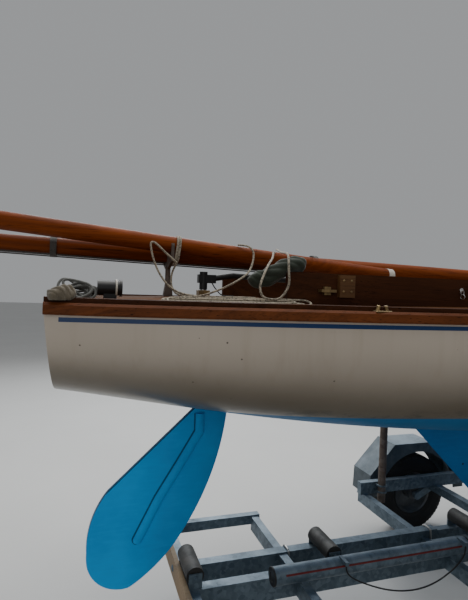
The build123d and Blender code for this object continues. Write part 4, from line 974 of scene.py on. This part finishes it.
# %% Canvas and rag
def bundle(path, reach, folds, deep, flat_z, phase):
    """Rings of cloth on a path: a radius times 1 + deep times a row of creases and two sines.

    The radii come from reach, rows of (share of the path, millimetres). Below flat_z, one height in
    millimetres or one for each ring, the cloth is pressed up against what it lies on."""
    t = even_turn(72)[None, :]
    u = np.linspace(0, 1, len(path))[:, None]
    heading = unit(np.gradient(path, axis=0))
    side = unit(np.cross(heading, (0, 0, 1)))
    over = np.cross(side, heading)
    crease = np.abs(np.sin(folds * t / 2 + 2.6 * math.tau * u + phase)) ** 0.7 - 0.6
    swell = 1 + deep * (crease + 0.5 * np.sin(3 * t - 7 * u + phase) + 0.35 * np.sin(31 * u + 2 * t))
    reach = np.interp(u, *zip(*reach)) / 1000 * swell
    rows = (path[:, None] + (reach * np.cos(t))[..., None] * side[:, None]
            + (reach * np.sin(t))[..., None] * over[:, None])
    floor_z = np.reshape(flat_z, (-1, 1)) / 1000
    rows[..., 2] = floor_z + np.logaddexp(0, (rows[..., 2] - floor_z) * 600) / 600
    return rows


cover_path = along(((690, -326, 1662), (722, -334, 1662), (762, -348, 1672), (800, -372, 1698),
                    (832, -394, 1717), (862, -402, 1722), (884, -404, 1721)), 72)
cover_reach = ((0, 1), (0.02, 11), (0.07, 21), (0.2, 31), (0.45, 31), (0.7, 29), (0.9, 28),
               (0.97, 20), (1, 1))
cover_floor = np.interp(cover_path[:, 0], TRANSOM + np.array((0.69, 0.8, 0.815, 0.91)),
                        (1600, 1640, 1694, 1694))
cover = piece("canvas_cover", "green_canvas",
              skin(bundle(cover_path, cover_reach, 6, 0.15, cover_floor, 0.4)), sharp=3.0)
rag_path = along(((14, -446, 1578), (30, -440, 1584), (52, -428, 1590), (74, -418, 1591),
                  (92, -410, 1590)), 56)
rag_reach = ((0, 1), (0.03, 12), (0.12, 20), (0.45, 26), (0.8, 24), (0.96, 15), (1, 1))
rag = piece("quarter_rag", "pale_canvas", skin(bundle(rag_path, rag_reach, 4, 0.17, 1571, 1.9)), sharp=3.0)
print("canvas done")

# %% [markdown]
# Small fittings finish the deck: a pale ring on the stern block, a fairlead on the rail, a snap
# hook on its eye, and screw heads in the cheeks. The trailer gets a plate on its beams, and the
# handles that a hand would use on the winch and on the coupling.

# %% Small fittings
piece("block_ring", "pale_plastic", ring((221, -330, 1613), (1, 0, 0), 25.6, 3.4, 36, 10))
horns = [turned([(0, 7), (10, 6), (16, 7.5), (19, 5), (20, 0.2)], (x, -630, 1568), (lean, 0, 1), 18)
         for x, lean in ((1042, 0.25), (1078, -0.25))]
piece("rail_fairlead", "old_bronze", plate((1030, -646, 1563), (1090, -614, 1569), 2), *horns)
piece("snap_eye", "stainless_steel",
      turned([(-3, 9), (0, 9), (1.5, 7), (2, 0.2)], (1535, -474, 1650), (0, -1, 0), 24),
      ring((1535, -477, 1641), (0, 1, 0), 8, 1.8), ring((1535, -480, 1624), (1, 0.3, 0), 9, 1.8))
screw = [(-1, 4.5), (0.6, 4.5), (1.6, 3), (1.9, 0.2)]
screws = [turned(screw, (x, side * 468, z), (0, side, 0), 16)
          for side in (1, -1) for x in (1010, 1042) for z in (1628, 1668)]
piece("cheek_screws", "old_bronze", *screws)
piece("beam_plate", "zinc_steel", plate((1835, -82, 379), (2060, -28, 385), 1.5))
crank = along(((6290, -62, 1105), (6290, -78, 1105), (6292, -84, 1100), (6330, -84, 1010),
               (6350, -84, 962)), 40)
piece("winch_handle", "zinc_steel", tube(crank, 7, 12),
      turned([(0, 9), (2, 12), (60, 14), (92, 12), (96, 9)], (6350, -84, 966), (0, -1, 0), 20))
lever = along(((6470, 0, 444), (6500, 0, 462), (6540, 0, 474), (6585, 0, 476)), 30)
piece("coupling_handle", "black_plastic", tube(lever, 9, 14))
print("small fittings done")

# %% [markdown]
# Last, the floor gets a pale matt finish.

# %% Floor finish
tree, shader, place = new_material("pale_floor")
wire(tree, shader, mix(tree, noise(tree, place, 0.8, 5.0), (0.5, 0.5, 0.49), (0.58, 0.58, 0.57)),
     spread(tree, noise(tree, place, 4.0), 0, 1, 0.75, 0.9))
dress("pale_floor", "floor")
print("floor finish done")
